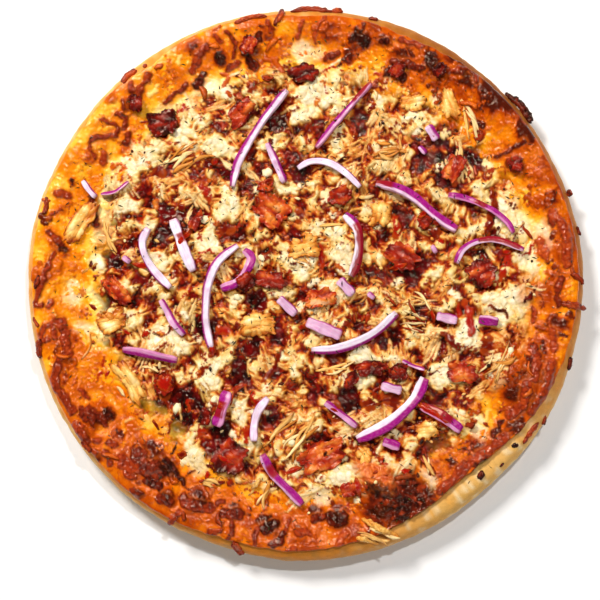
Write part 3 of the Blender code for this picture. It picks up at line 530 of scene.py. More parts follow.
vein = 1.0 - 3.4 * np.abs(grain(warp_x, warp_y, 0.0120, 71)) + 0.8 * mottle(warp_x, warp_y, 0.0060, 72)
finer_vein = 1.0 - 3.4 * np.abs(grain(warp_x, warp_y, 0.0095, 73)) + 0.8 * mottle(warp_x, warp_y, 0.0050, 74)
vein = np.maximum(vein, finer_vein)


def evened(layer, region):
    """A layer as the share of the region that lies below it, so that all its values are equally common there."""
    known = np.sort(layer[region])
    return np.searchsorted(known, layer) / len(known)


# How the middle is cooked: 0 is sauce gone almost black, a half is browned meat, and 1 is white mozzarella
melt = (mottle(warp_x, warp_y, 0.0115, 61, 2) + 0.04 * grain(warp_x, warp_y, 0.0024, 62) + 0.12 * curd_dome
        + 0.9 * pooled_cream - 0.9 * pooled_sauce)
melt -= 0.32 * ease(0.40, 0.90, vein)
melt_value = evened(melt, canvas_share < 0.80) ** 1.28
cream = ease(0.60, 0.72, melt_value) * middle_zone
sauce = ease(0.24, 0.14, melt_value) * middle_zone
meat = middle_zone * (1.0 - cream) * (1.0 - sauce)

# Where the oven browned and burnt it: bubbles, and whole stretches of the rim
browned = np.zeros_like(cheddar)
burnt = np.zeros_like(cheddar)
for seed, (at_x, at_y, reach, strength) in enumerate(browned_bubbles):
    patch = blot(at_x, at_y, reach, reach * 0.85, 37.0 * seed, 200 + seed, 0.3, 0.5)
    browned = np.maximum(browned, patch * min(1.0, 0.55 + strength))
    core = blot(at_x, at_y, 0.75 * reach, 0.55 * reach, -35.0, 300 + seed, 0.4, 0.9)
    burnt = np.maximum(burnt, core * ease(0.4, 1.0, strength))
browning_bias = (0.32 * bump_at(canvas_degrees, 52.0, 28.0) + 0.10 * bump_at(canvas_degrees, 100.0, 20.0)
                 + 0.22 * bump_at(canvas_degrees, 228.0, 30.0) + 0.30 * bump_at(canvas_degrees, 288.0, 20.0)
                 + 0.12 * bump_at(canvas_degrees, 316.0, 18.0) + 0.17 * bump_at(canvas_degrees, 337.0, 14.0)
                 + 0.18 * bump_at(canvas_degrees, 260.0, 22.0) - 0.05 * bump_at(canvas_degrees, 150.0, 30.0)
                 + 0.05 * bump_at(canvas_degrees, 175.0, 20.0) + 0.16 * bump_at(canvas_degrees, 4.0, 26.0))
browning_bias += ease(0.92, 0.98, canvas_share) * (0.26 * bump_at(canvas_degrees, 48.0, 32.0)
                                                   - 0.12 * bump_at(canvas_degrees, 182.0, 26.0))

# Colours from darkest to lightest that the ring takes as it browns
ring_ramp = [(0.00, srgb(78, 20, 5)), (0.06, srgb(118, 32, 3)), (0.14, srgb(158, 52, 2)), (0.26, srgb(188, 74, 2)),
             (0.42, srgb(212, 98, 4)), (0.58, srgb(234, 128, 6)), (0.74, srgb(248, 158, 18)),
             (0.88, srgb(253, 192, 62)), (1.00, srgb(255, 224, 142))]
wrinkle = np.abs(grain(warp_x, warp_y, 0.0056, 311) + 0.25 * grain(canvas_x, canvas_y, 0.002, 317))
ring_line = ease(0.16, 0.03, wrinkle) * ease(0.05, 0.50, mottle(canvas_x, canvas_y, 0.012, 312) + 0.6 * browning_bias)
ring_blotch = mottle(canvas_x, canvas_y, 0.0150, 313)
ring_lump = mottle(warp_x, warp_y, 0.0060, 314, 2)
ring_value = ring_blotch + 0.40 * ring_lump + 0.05 * grain(canvas_x, canvas_y, 0.0014, 315)
ring_value = ring_value - 0.5 * ring_line + 0.8 * pooled_cream
ring_value = 0.44 + 0.38 * evened(ring_value, canvas_share > 0.78) - browning_bias - 0.40 * browned - 0.25 * burnt
ring_value = np.clip(ring_value + 0.34 * ease(0.09, 0.0, into_ring), 0.0, 1.0)


def ramp(value, stops):
    """Colours read from a ramp of (place, colour) stops."""
    marks = [mark_at for mark_at, _ in stops]
    channels = [np.interp(value, marks, [colour[channel] for _, colour in stops]) for channel in range(3)]
    return np.stack(channels, axis=-1)


# Colours from darkest to lightest that the middle takes, from sauce through meat to mozzarella
food_ramp = [(0.00, srgb(30, 2, 2)), (0.07, srgb(78, 8, 4)), (0.16, srgb(136, 20, 6)), (0.27, srgb(176, 60, 14)),
             (0.39, srgb(204, 108, 32)), (0.51, srgb(222, 146, 58)), (0.62, srgb(236, 180, 92)),
             (0.73, srgb(243, 205, 132)), (0.85, srgb(243, 217, 166)), (1.00, srgb(246, 230, 196))]
# The same from drier meat and cheese with herbs and oil on it, which is yellower and duller
herbed_ramp = [(0.00, srgb(24, 8, 2)), (0.12, srgb(82, 30, 6)), (0.25, srgb(132, 68, 16)), (0.39, srgb(174, 114, 40)),
               (0.51, srgb(202, 150, 70)), (0.62, srgb(220, 178, 100)), (0.73, srgb(232, 202, 134)),
               (0.85, srgb(236, 214, 160)), (1.00, srgb(242, 228, 194))]
food_value = melt_value + 0.24 * fibres * meat + 0.025 * grain(canvas_x, canvas_y, 0.0012, 326)
# Painted shade: food is painted darker in the creases between curds
food_value += 0.09 * grain(canvas_x, canvas_y, 0.0034, 322) * (1.0 - 0.5 * cream) - 0.08 * curd_crease_shade
# Painted shade: meat is painted darker in the creases between its chunks
food_value += 0.10 * (chunk_chance - 0.5) * meat - 0.14 * chunk_crease_shade * meat
food_value = np.clip(food_value, 0.0, 1.0)
herbed = ease(-0.05, 0.35, mottle(canvas_x, canvas_y, 0.0110, 329, 3)) * (1.0 - 0.8 * sauce)
cheese_tone = mix(ramp(food_value, food_ramp), ramp(food_value, herbed_ramp), 0.85 * herbed)
redness = sauce * ease(-0.2, 0.5, mottle(canvas_x, canvas_y, 0.0070, 323, 2))
cheese_tone = mix(cheese_tone, srgb(134, 8, 8), 0.50 * redness)
# Painted shade: the dimples in the cream, which are also sunk in the relief, are painted olive
dimples = cream * ease(0.15, 0.60, mottle(canvas_x, canvas_y, 0.0026, 327, 2))
cheese_tone = mix(cheese_tone, srgb(198, 172, 100), 0.45 * dimples * (1.0 - ease(-0.10, 0.0, into_ring)))
# Painted shade: olive-tan in the creases between mozzarella curds
cheese_tone = mix(cheese_tone, srgb(198, 172, 106), 0.40 * cream * curd_crease_shade)
buttery = cream * ease(0.10, 0.60, mottle(canvas_x, canvas_y, 0.0075, 328, 2))
cheese_tone = mix(cheese_tone, srgb(252, 206, 104), 0.45 * buttery)
cheese_tone = mix(cheese_tone, ramp(ring_value, ring_ramp), cheddar * (1.0 - 0.65 * pooled_cream))
cheese_tone = mix(cheese_tone, ramp(0.55 * food_value, ring_ramp), 0.7 * browned * middle_zone)
crisp = np.clip(mottle(canvas_x, canvas_y, 0.0028, 91, 2), -1.0, 1.0)
burnt_cheese = srgb(34, 8, 4)
gloss = 0.20 - 0.07 * cheddar - 0.12 * sauce - 0.02 * cream + 0.06 * burnt

# How far each of them stands up from the bare layer
relief = 0.0019 * (ease(0.05, 0.95, food_value) - 0.5) * middle_zone
relief += cream * (0.0010 * curd_dome * (0.4 + curd_chance) + 0.0003 * grain(canvas_x, canvas_y, 0.0030, 321)
                   - 0.0003 * dimples)
relief += meat * (chunk_dome * (0.0003 + 0.0009 * chunk_chance) + 0.00034 * fibres + 0.00010 * bit_dome)
relief += 0.00030 * sauce * grain(canvas_x, canvas_y, 0.0022, 45)
relief += 0.0005 * mottle(canvas_x, canvas_y, 0.0060, 43) + 0.00022 * grain(canvas_x, canvas_y, 0.0015, 44)
relief += cheddar * (0.0006 * ring_line - 0.0007 * ring_lump - 0.0005 * ring_blotch
                     + 0.0003 * grain(canvas_x, canvas_y, 0.0016, 316))
relief += (browned * (0.0010 + 0.0005 * mottle(canvas_x, canvas_y, 0.0050, 46))
           + burnt * 0.0005 * mottle(canvas_x, canvas_y, 0.0045, 47, 2))
near_edge = ease(0.0, 0.03, np.interp(canvas_degrees, edge_degrees, edge_table) - canvas_share)
ground = bare_cheese + relief * near_edge

# What melted into the layer is pressed into it strand by strand: torn chicken, shreds of cheddar that fried in
# their own fat, curds of mozzarella, and runs of sauce
pale_meat = srgb(252, 224, 160)
straw_meat = srgb(246, 192, 108)
golden_meat = srgb(222, 142, 54)
brown_meat = srgb(160, 72, 20)
dark_meat = srgb(76, 20, 5)
sauced_meat = srgb(166, 48, 10)
crisp_orange = srgb(230, 108, 12)
crisp_brown = srgb(152, 44, 10)
crisp_dark = srgb(64, 14, 5)
thick_sauce = srgb(104, 10, 3)
bright_sauce = srgb(160, 18, 6)
black_sauce = srgb(40, 6, 3)
thin_sauce = srgb(172, 66, 14)


def strand_line(x, y, heading, length, bend, draw, spacing):
    """The middle line of a strand: an even curve with a slight wobble."""
    count = max(5, int(round(length / spacing)) + 1)
    t = np.linspace(-0.5, 0.5, count)
    headings = heading + bend * t + 0.25 * draw.uniform(-1, 1) * np.sin(7.0 * t + draw.uniform(0, 6))
    step = length / (count - 1)
    run_x = np.concatenate([[0.0], np.cumsum(np.cos(headings[:-1]) * step)])
    run_y = np.concatenate([[0.0], np.cumsum(np.sin(headings[:-1]) * step)])
    middle = count // 2
    along = np.stack([np.cos(headings), np.sin(headings)], axis=1)
    return x + run_x - run_x[middle], y + run_y - run_y[middle], along, t, step


def stamp(x, y, heading, length, width, depth, bend, tone, edge_tone, draw, wander=0.0, **manner):
    """Presses one curved strand into the layer."""
    line_x, line_y, along, t, step = strand_line(x, y, heading, length, bend, draw, 0.0009)
    if wander > 0.0:
        line_x = line_x + wander * np.sin(draw.uniform(6, 16) * t + draw.uniform(0, 6))
        line_y = line_y + wander * np.sin(draw.uniform(6, 16) * t + draw.uniform(0, 6))
    press(line_x, line_y, width, depth, tone, edge_tone, draw, **manner)


def press(line_x, line_y, width, depth, tone, edge_tone, draw, sink=0.35, taper=0.35, edge_share=0.8, shine=0.26,
          lumpy=0.16):
    """Raises the canvas along a line by a rounded, lumpy section, and colours it."""
    left, right = cell_of(line_x.min() - width), cell_of(line_x.max() + width)
    low, high = cell_of(line_y.min() - width), cell_of(line_y.max() + width)
    if left < 0 or low < 0 or right >= len(canvas_line) or high >= len(canvas_line):
        return
    window = (slice(low, high + 1), slice(left, right + 1))
    away = np.hypot(canvas_x[window] - line_x[:, None, None], canvas_y[window] - line_y[:, None, None])
    nearest = away.argmin(axis=0)
    t = np.linspace(-0.5, 0.5, len(line_x))
    run = np.arange(len(line_x)) * 0.0009
    lumps = grain(run, 0.0 * run + draw.uniform(0.0, 0.5), 0.0021, 18)
    pinch = 1.0 - taper * np.abs(2.0 * t) ** 3 + 2.0 * lumpy * lumps
    reach = away.min(axis=0) / (0.5 * width * pinch)[nearest]
    bed = np.convolve(np.pad(sample(ground, line_x, line_y), 2, mode="edge"), np.ones(5) / 5.0, mode="valid")
    bed = bed + depth * lumpy * lumps
    top = bed[nearest] + depth * (np.sqrt(np.clip(1.0 - reach * reach, 0.0, 1.0)) - sink)
    shown = (reach < 1.0) & (top > ground[window])
    if not shown.any():
        return
    spots = 0.5 * np.sin(draw.uniform(8, 20) * t + draw.uniform(0, 6))
    spots = spots + 0.5 * np.sin(draw.uniform(3, 8) * t + draw.uniform(0, 6))
    edges = edge_share * ease(0.45, 1.0, reach) + 0.45 * (np.abs(2.0 * t) ** 4)[nearest]
    edges = edges + 0.30 * np.clip(spots, 0, 1)[nearest]
    painted = mix(np.broadcast_to(tone, shown.shape + (3,)), edge_tone, np.clip(edges, 0.0, 1.0))
    ground[window] = np.where(shown, top, ground[window])
    cheese_tone[window] = np.where(shown[..., None], painted, cheese_tone[window])
    gloss[window] = np.where(shown, shine, gloss[window])


def food_colour(value, place):
    """The colour of food at this value, drier and yellower where herbs and oil lie."""
    return mix(ramp(value, food_ramp), ramp(value, herbed_ramp), float(herbed[place]))


def cell_of(value):
    """The row or column of the canvas at this place."""
    return int(round((value + canvas_reach) / canvas_step))


def random_place(draw, reach, start=0.0):
    """A place drawn evenly over a disc, or over a ring that starts farther out, and its share of the radius."""
    share = math.sqrt(start * start + (reach * reach - start * start) * draw.random())
    turn = draw.uniform(0.0, 2.0 * math.pi)
    return share * radius * math.cos(turn), share * radius * math.sin(turn), share


# Tone, edge tone and how often, for strands of meat
strand_tones = [(pale_meat, golden_meat, 0.34), (straw_meat, golden_meat, 0.16), (straw_meat, brown_meat, 0.20),
                (golden_meat, brown_meat, 0.14), (pale_meat, brown_meat, 0.08), (sauced_meat, dark_meat, 0.08)]


def pick_tone(draw, x, y):
    """A strand's tone: mostly meat, and sauce-stained where sauce lies under it."""
    if float(sample(sauce, x, y)) > 0.5 and draw.random() < 0.35:
        return sauced_meat, dark_meat
    goal = draw.random()
    for inner, outer, share in strand_tones:
        goal -= share
        if goal <= 0.0:
            return inner, outer
    return strand_tones[0][:2]


def even_line(points, spacing):
    """Places at even distances along a smooth line, with their directions."""
    fine = rounded(points, 16)
    run = np.concatenate([[0.0], np.cumsum(np.hypot(*np.diff(fine, axis=0).T))])
    count = max(4, int(round(run[-1] / spacing)))
    goals = np.linspace(0.0, run[-1], count + 1)
    x, y = np.interp(goals, run, fine[:, 0]), np.interp(goals, run, fine[:, 1])
    along = np.stack([np.gradient(x), np.gradient(y)], axis=1)
    along /= np.linalg.norm(along, axis=1)[:, None]
    return x, y, along, goals


def rim_line(points, spacing):
    """An even line through points given as direction in degrees and share of the radius."""
    turns = np.radians([point[0] for point in points])
    reach = np.array([point[1] for point in points]) * radius
    return even_line(np.stack([reach * np.cos(turns), reach * np.sin(turns)], axis=1), spacing)


def rim_place(draw, inset, evenness):
    """A place drawn near the edge of the cheese, and its direction in degrees."""
    turn_degrees = draw.uniform(0.0, 360.0)
    edge = float(np.interp(turn_degrees, edge_degrees, edge_table))
    share = edge - inset - 0.20 * draw.random() ** evenness
    reach = share * radius * float(outline_factor(turn_degrees))
    turn = math.radians(turn_degrees)
    return reach * math.cos(turn), reach * math.sin(turn), turn_degrees


# Colours of cheese that fried, from burnt to orange
ridge_ramp = [(0.0, srgb(38, 7, 4)), (0.25, srgb(104, 26, 9)), (0.5, srgb(160, 52, 18)), (0.75, srgb(200, 84, 30)),
              (1.0, srgb(232, 130, 54))]
# Ridges of cheese that blistered and fried about the rim: points as direction in degrees and share of the
# radius, width, and how dark, from 0 for orange to 1 for black
fried_ridges = [
    ([(4, 0.935), (11, 0.945), (16, 0.915)], 0.0060, 0.35), ([(33, 0.935), (33.5, 0.85), (34, 0.82)], 0.0024, 0.80),
    ([(13.5, 0.905), (15.5, 0.90)], 0.0030, 0.55), ([(42, 0.855), (44, 0.84)], 0.0040, 0.85),
    ([(50, 0.955), (53, 0.975), (55, 0.94)], 0.0030, 0.55), ([(54, 0.94), (58, 0.92)], 0.0036, 0.55),
    ([(62, 0.88), (66, 0.875), (69, 0.86)], 0.0040, 0.65), ([(65, 0.82), (67, 0.845), (69, 0.82)], 0.0060, 0.92),
    ([(64, 0.955), (69, 0.945)], 0.0036, 0.40), ([(71.5, 0.925), (73, 0.915)], 0.0030, 0.85),
    ([(77.5, 0.965), (77.6, 0.94)], 0.0020, 0.85), ([(86, 0.97), (88, 0.92), (88, 0.88)], 0.0020, 0.25),
    ([(82.5, 0.85), (85, 0.82)], 0.0036, 0.60), ([(91, 0.95), (92, 0.90)], 0.0030, 0.35),
    ([(98.5, 0.965), (98, 0.93)], 0.0034, 0.45), ([(101, 0.915), (103, 0.89), (105, 0.87)], 0.0052, 0.85),
    ([(104.5, 0.84), (103.5, 0.81)], 0.0056, 0.88), ([(107.5, 0.96), (106.6, 0.92), (108, 0.87)], 0.0026, 0.55),
    ([(110.5, 0.965), (109.5, 0.93)], 0.0024, 0.35), ([(113, 0.935), (115.5, 0.915), (118, 0.885)], 0.0050, 0.45),
    ([(116.5, 0.855), (119, 0.83)], 0.0056, 0.92), ([(107.5, 0.845), (110, 0.835)], 0.0042, 0.60),
    ([(127, 0.955), (131, 0.93), (134, 0.90)], 0.0046, 0.45), ([(131.2, 0.965), (132, 0.95)], 0.0040, 0.40),
    ([(135, 0.945), (136, 0.92)], 0.0026, 0.45), ([(138, 0.93), (137.5, 0.895), (139.5, 0.88)], 0.0030, 0.50),
    ([(141.2, 0.955), (140.2, 0.90), (142, 0.885), (145, 0.93), (147, 0.94), (149, 0.90)], 0.0027, 0.50),
    ([(147, 0.88), (149, 0.865)], 0.0040, 0.40), ([(160, 0.972), (159.4, 0.925)], 0.0042, 0.45),
    ([(165, 0.965), (163, 0.93)], 0.0020, 0.40), ([(168.4, 0.95), (170, 0.92), (171, 0.90)], 0.0034, 0.60),
    ([(173, 0.925), (176, 0.94), (180, 0.962), (184, 0.985), (184.6, 0.96)], 0.0034, 0.50),
    ([(188.8, 0.93), (189.6, 0.965), (192, 0.985)], 0.0038, 0.45), ([(192, 0.955), (192.4, 0.985)], 0.0028, 0.45),
    ([(188.5, 0.905), (192, 0.895), (196, 0.905)], 0.0078, 0.45), ([(183.5, 0.93), (185, 0.94)], 0.0026, 0.35),
    ([(196.5, 0.915), (198, 0.945), (202, 0.98), (204, 0.968), (208.5, 0.962)], 0.0052, 0.50),
    ([(189, 0.935), (192, 0.93)], 0.0026, 0.35), ([(205, 0.905), (207.5, 0.89)], 0.0032, 0.40),
    ([(212, 0.985), (215, 0.975)], 0.0100, 0.45), ([(210, 0.92), (213, 0.895), (213.5, 0.86)], 0.0100, 0.70),
    ([(216.5, 0.95), (217, 0.935)], 0.0034, 0.40), ([(217.6, 0.985), (218.6, 0.975)], 0.0034, 0.40),
    ([(219, 0.915), (220, 0.90)], 0.0042, 0.45), ([(220, 0.945), (222.5, 0.96)], 0.0040, 0.45),
    ([(224, 0.915), (227, 0.905)], 0.0100, 0.45), ([(226.5, 0.945), (228, 0.935)], 0.0042, 0.45),
    ([(225, 0.865), (228, 0.88), (232, 0.855)], 0.0120, 0.66), ([(230, 0.97), (231.4, 0.965)], 0.0042, 0.55),
    ([(231, 0.91), (234, 0.90)], 0.0060, 0.88), ([(235.6, 0.935), (237.6, 0.925)], 0.0070, 0.62),
    ([(231, 0.815), (235, 0.825), (238, 0.84)], 0.0036, 0.95), ([(240, 0.975), (241, 0.94)], 0.0038, 0.35),
    ([(240, 0.895), (243, 0.895), (246.5, 0.88)], 0.0070, 0.62), ([(248.6, 0.955), (250.4, 0.945)], 0.0040, 0.40),
    ([(252.6, 0.965), (253.4, 0.93), (252.2, 0.89)], 0.0026, 0.60), ([(250, 0.875), (254, 0.862)], 0.0060, 0.66),
    ([(247.6, 0.855), (249, 0.84)], 0.0034, 0.55), ([(258.6, 0.945), (258.4, 0.905), (260, 0.885)], 0.0036, 0.50),
    ([(260, 0.895), (262.4, 0.868)], 0.0060, 0.92), ([(262.4, 0.945), (264, 0.93), (264.6, 0.905)], 0.0050, 0.80),
    ([(265, 0.885), (265.6, 0.85)], 0.0026, 0.40), ([(266.2, 0.965), (267.2, 0.955)], 0.0044, 0.30),
    ([(268, 0.895), (270, 0.89)], 0.0046, 0.35), ([(271.5, 0.845), (274, 0.84)], 0.0046, 0.70),
    ([(276.4, 0.955), (277.6, 0.925), (278.4, 0.905)], 0.0050, 0.25),
    ([(275.5, 0.84), (277.5, 0.865), (279, 0.85)], 0.0075, 0.88),
    ([(308.5, 0.906), (312, 0.912), (315, 0.906)], 0.0050, 1.0),
    ([(303, 0.885), (307, 0.875), (311, 0.865)], 0.0060, 0.45),
    ([(313, 0.875), (318, 0.885), (322, 0.895)], 0.0060, 0.40),
    ([(320.6, 0.862), (322, 0.858)], 0.0032, 0.92), ([(323, 0.862), (324.4, 0.855)], 0.0036, 0.88),
    ([(330, 0.925), (336, 0.935), (342, 0.92)], 0.0046, 0.40),
    ([(327, 0.865), (331, 0.885), (335, 0.865)], 0.0060, 0.40),
    ([(337, 0.88), (341, 0.87), (344, 0.84)], 0.0056, 0.45), ([(339.5, 0.845), (341.5, 0.84)], 0.0036, 0.80),
    ([(355, 0.905), (358, 0.90), (361, 0.91)], 0.0036, 0.60), ([(345, 0.92), (349, 0.895)], 0.0040, 0.35),
    ([(351, 0.825), (353.4, 0.815)], 0.0042, 0.50), ([(7, 0.86), (10, 0.85)], 0.0060, 0.20),
    ([(28.5, 0.865), (30.5, 0.85)], 0.0060, 0.60), ([(121, 0.85), (124, 0.845), (128, 0.84)], 0.0030, 0.60),
    ([(140, 0.85), (141.6, 0.835)], 0.0052, 0.55), ([(158, 0.845), (161, 0.825), (164, 0.80)], 0.0044, 0.80),
]
# Runs of sauce that stand out: place, half width, half length and heading off straight up in degrees
sauce_streaks = [
    (0.108, 0.012, 0.0024, 0.0105, -20), (0.101, 0.043, 0.0018, 0.0080, 5), (0.099, 0.033, 0.0020, 0.0070, -10),
    (0.088, -0.019, 0.0024, 0.0090, 10), (0.079, -0.032, 0.0022, 0.0080, 50), (0.097, -0.033, 0.0042, 0.0022, 0),
    (0.082, -0.015, 0.0016, 0.0040, 0), (-0.068, 0.024, 0.0022, 0.0085, -40), (-0.020, 0.017, 0.0018, 0.0070, -40),
    (0.008, 0.016, 0.0016, 0.0070, 10), (0.066, -0.069, 0.0030, 0.0085, 50), (0.072, -0.074, 0.0026, 0.0060, 46),
    (-0.032, -0.082, 0.0026, 0.0030, 0), (-0.051, -0.066, 0.0028, 0.0020, 0), (-0.072, 0.007, 0.0026, 0.0032, 0),
    (-0.101, 0.059, 0.0040, 0.0018, 0), (-0.043, 0.032, 0.0045, 0.0020, 20), (-0.004, 0.037, 0.0040, 0.0018, 20),
    (-0.046, -0.025, 0.0032, 0.0020, 60), (-0.051, -0.036, 0.0025, 0.0035, 0), (-0.017, -0.044, 0.0018, 0.0100, -30),
    (-0.028, -0.063, 0.0018, 0.0060, 20), (0.034, -0.064, 0.0040, 0.0018, 0), (0.045, -0.063, 0.0065, 0.0020, 0),
    (-0.058, -0.079, 0.0040, 0.0018, 0), (-0.044, -0.095, 0.0050, 0.0020, -30), (0.023, -0.019, 0.0026, 0.0060, -30),
    (0.048, 0.032, 0.0026, 0.0060, 10), (0.067, 0.027, 0.0045, 0.0026, -20), (-0.062, 0.068, 0.0025, 0.0050, 40),
    (-0.055, 0.051, 0.0020, 0.0060, 30), (-0.082, 0.062, 0.0055, 0.0020, 60), (0.015, -0.068, 0.0048, 0.0022, 0),
    (0.094, 0.082, 0.0038, 0.0028, 0), (-0.077, -0.054, 0.0052, 0.0056, 0), (-0.030, 0.108, 0.0030, 0.0016, 50),
]
draw = random.Random(3)
meat_strands, meat_fans, curd_lumps, caramel_bits, sauce_runs = 480, 150, 170, 150, 170
cheddar_shreds, crisp_shreds = 420, 70
for _ in range(meat_strands):
    x, y, share = random_place(draw, 0.84)
    row, column = cell_of(y), cell_of(x)
    if meat[row, column] < 0.5 and draw.random() < 0.86:
        continue
    turn = grain_turn[row, column] + draw.gauss(0.0, 0.16)
    value = float(food_value[row, column]) + draw.gauss(0.08, 0.10)
    stamp(x, y, turn, draw.uniform(0.005, 0.012), draw.uniform(0.0010, 0.0019), draw.uniform(0.0005, 0.0010),
          draw.uniform(-0.9, 0.9), food_colour(value, (row, column)), food_colour(value - 0.26, (row, column)), draw,
          edge_share=0.8, shine=0.22)
for _ in range(meat_fans):
    x, y, share = random_place(draw, 0.82)
    row, column = cell_of(y), cell_of(x)
    if (pooled_cream[row, column] > 0.3 or cheddar[row, column] > 0.6) and draw.random() < 0.8:
        continue
    turn = grain_turn[row, column] + draw.gauss(0.0, 0.2)
    value = draw.choice([0.56, 0.62, 0.68, 0.74, 0.78])
    strands, pitch, length = draw.randint(3, 7), draw.uniform(0.0009, 0.0013), draw.uniform(0.008, 0.016)
    for strand in range(strands):
        aside = (strand - 0.5 * strands) * pitch
        slide = draw.uniform(-0.25, 0.25) * length
        tone_value = value + draw.gauss(0.0, 0.06)
        stamp(x - aside * math.sin(turn) + slide * math.cos(turn), y + aside * math.cos(turn) + slide * math.sin(turn),
              turn + draw.gauss(0.0, 0.10), length * draw.uniform(0.5, 1.1), pitch * draw.uniform(1.0, 1.8),
              draw.uniform(0.0006, 0.0012), draw.uniform(-0.5, 0.5), food_colour(tone_value, (row, column)),
              food_colour(tone_value - 0.30, (row, column)), draw, edge_share=0.9, shine=0.24, taper=0.15)
for _ in range(curd_lumps):
    x, y, share = random_place(draw, 0.80)
    if cream[cell_of(y), cell_of(x)] < 0.4 and draw.random() < 0.7:
        continue
    stamp(x, y, draw.uniform(0.0, math.pi), draw.uniform(0.002, 0.006), draw.uniform(0.0026, 0.0058),
          draw.uniform(0.0007, 0.0013), draw.uniform(-1.5, 1.5), ramp(draw.uniform(0.80, 1.0), food_ramp),
          ramp(0.62, herbed_ramp), draw, sink=0.40, taper=0.5, edge_share=0.7, wander=0.0006, shine=0.18, lumpy=0.10)
for _ in range(caramel_bits):
    x, y, share = random_place(draw, 0.84)
    value = draw.choice([0.10, 0.20, 0.28, 0.34, 0.42])
    stamp(x, y, draw.uniform(0.0, math.pi), draw.uniform(0.0015, 0.0060), draw.uniform(0.0014, 0.0034),
          draw.uniform(0.0006, 0.0013), draw.uniform(-2.0, 2.0), ramp(value, food_ramp), ramp(value - 0.14, food_ramp),
          draw, shine=0.12, wander=0.0006)
for _ in range(sauce_runs):
    x, y, share = random_place(draw, 0.82)
    stamp(x, y, draw.uniform(0.0, math.pi), draw.uniform(0.004, 0.014), draw.uniform(0.0009, 0.0024), 0.0005,
          draw.uniform(-2.5, 2.5), draw.choice([thick_sauce, thick_sauce, bright_sauce, black_sauce]), thin_sauce, draw,
          sink=0.1, shine=0.08, wander=0.0008, edge_share=0.6)
for index, (x, y, half_width, half_length, heading) in enumerate(sauce_streaks):
    stamp(x, y, math.radians(heading + 90.0), 2.0 * half_length, 2.0 * half_width, 0.0010, 0.4,
          bright_sauce if index % 3 == 0 else thick_sauce, thin_sauce, draw, sink=0.25, shine=0.08, edge_share=0.5,
          wander=0.0006)
for _ in range(cheddar_shreds):
    x, y, share = random_place(draw, 0.95, 0.78)
    row, column = cell_of(y), cell_of(x)
    if cheddar[row, column] < 0.5:
        continue
    value = float(np.clip(ring_value[row, column] + draw.gauss(0.02, 0.17), 0.0, 1.0))
    turn = math.atan2(y, x) + math.pi / 2.0 + draw.gauss(0.0, 0.9)
    stamp(x, y, turn, draw.uniform(0.003, 0.011), draw.uniform(0.0011, 0.0030), draw.uniform(0.0003, 0.0008),
          draw.gauss(0.0, 1.6), ramp(value, ring_ramp), ramp(max(0.0, value - 0.16), ring_ramp), draw, edge_share=0.8,
          shine=0.14, wander=0.0008)
for _ in range(crisp_shreds):
    x, y, turn_degrees = rim_place(draw, 0.012, 1.7)
    bias = float(sample(browning_bias, x, y))
    if draw.random() > 0.55 + 1.5 * bias or burnt[cell_of(y), cell_of(x)] > 0.3:
        continue
    value = float(np.clip(draw.gauss(0.30 - 0.35 * bias, 0.12), 0.02, 0.6))
    stamp(x, y, math.radians(turn_degrees + 90.0) + draw.gauss(0.0, 0.8), draw.uniform(0.003, 0.013),
          draw.uniform(0.0016, 0.0038), draw.uniform(0.0008, 0.0015), draw.gauss(0.0, 2.4), ramp(value, ring_ramp),
          ramp(value - 0.12, ring_ramp), draw, shine=0.14, taper=0.2, wander=0.0014)

# The ridges are ragged bands about their lines, swollen into lumps, darkest at their edges, with painted light on the
# lumps' tops and painted shade in the gaps between them
swayed_x = canvas_x + 0.0011 * grain(canvas_x, canvas_y, 0.0044, 331) + 0.0004 * grain(canvas_x, canvas_y, 0.0018, 332)
swayed_y = canvas_y + 0.0011 * grain(canvas_x, canvas_y, 0.0044, 333) + 0.0004 * grain(canvas_x, canvas_y, 0.0018, 334)
ridge_inside = np.full_like(cheddar, -0.01)
ridge_half = np.full_like(cheddar, 0.001)
ridge_darkness = np.zeros_like(cheddar)
for points, width, darkness in fried_ridges:
    line_x, line_y = rim_line(points, 0.0009)[:2]
    margin = width + 0.0035
    window = (slice(cell_of(line_y.min() - margin), cell_of(line_y.max() + margin) + 1),
              slice(cell_of(line_x.min() - margin), cell_of(line_x.max() + margin) + 1))
    away = np.hypot(swayed_x[window] - line_x[:, None, None], swayed_y[window] - line_y[:, None, None]).min(axis=0)
    half = 0.44 * width + 0.0002
    nearer = half - away > ridge_inside[window]
    ridge_inside[window] = np.where(nearer, half - away, ridge_inside[window])
    ridge_half[window] = np.where(nearer, half, ridge_half[window])
    ridge_darkness[window] = np.where(nearer, darkness, ridge_darkness[window])
lump_near, lump_next, lump_chance = cells(swayed_x, swayed_y, 0.0031, 335)
lump_dome = np.sqrt(np.clip(1.0 - (lump_near / 0.95) ** 2, 0.0, 1.0))
lump_gap_shade = ease(0.26, 0.0, lump_next - lump_near)
ridge_inside -= 0.0016 * ease(0.0028, 0.0044, ridge_half) * ease(0.42, 0.25, lump_chance)
ridge_inside += 0.0005 * grain(canvas_x, canvas_y, 0.0036, 342)
ridge_crest = np.sqrt(np.clip(1.0 - (1.0 - ridge_inside / ridge_half) ** 2, 0.0, 1.0))
# Painted light and shade: lighter on the domes of the lumps, darker in the gaps between them
ridge_value = (0.74 - 0.66 * ridge_darkness + 0.18 * (lump_dome - 0.7) + 0.18 * (lump_chance - 0.5) - 0.15 * lump_gap_shade
               - 0.26 * ease(0.0008, 0.0, ridge_inside) + 0.06 * grain(canvas_x, canvas_y, 0.0013, 337))
on_ridge = ease(-0.0003, 0.0005, ridge_inside)
cheese_tone = mix(cheese_tone, srgb(200, 84, 14), 0.65 * ease(-0.0026, 0.0, ridge_inside))
cheese_tone = mix(cheese_tone, ramp(np.clip(ridge_value, 0.0, 1.0), ridge_ramp), on_ridge)
gloss = gloss * (1.0 - on_ridge) + 0.11 * on_ridge
ground += on_ridge * (0.0007 * ridge_crest * (0.7 + 0.5 * lump_dome) + 0.16 * ridge_half * ridge_crest)

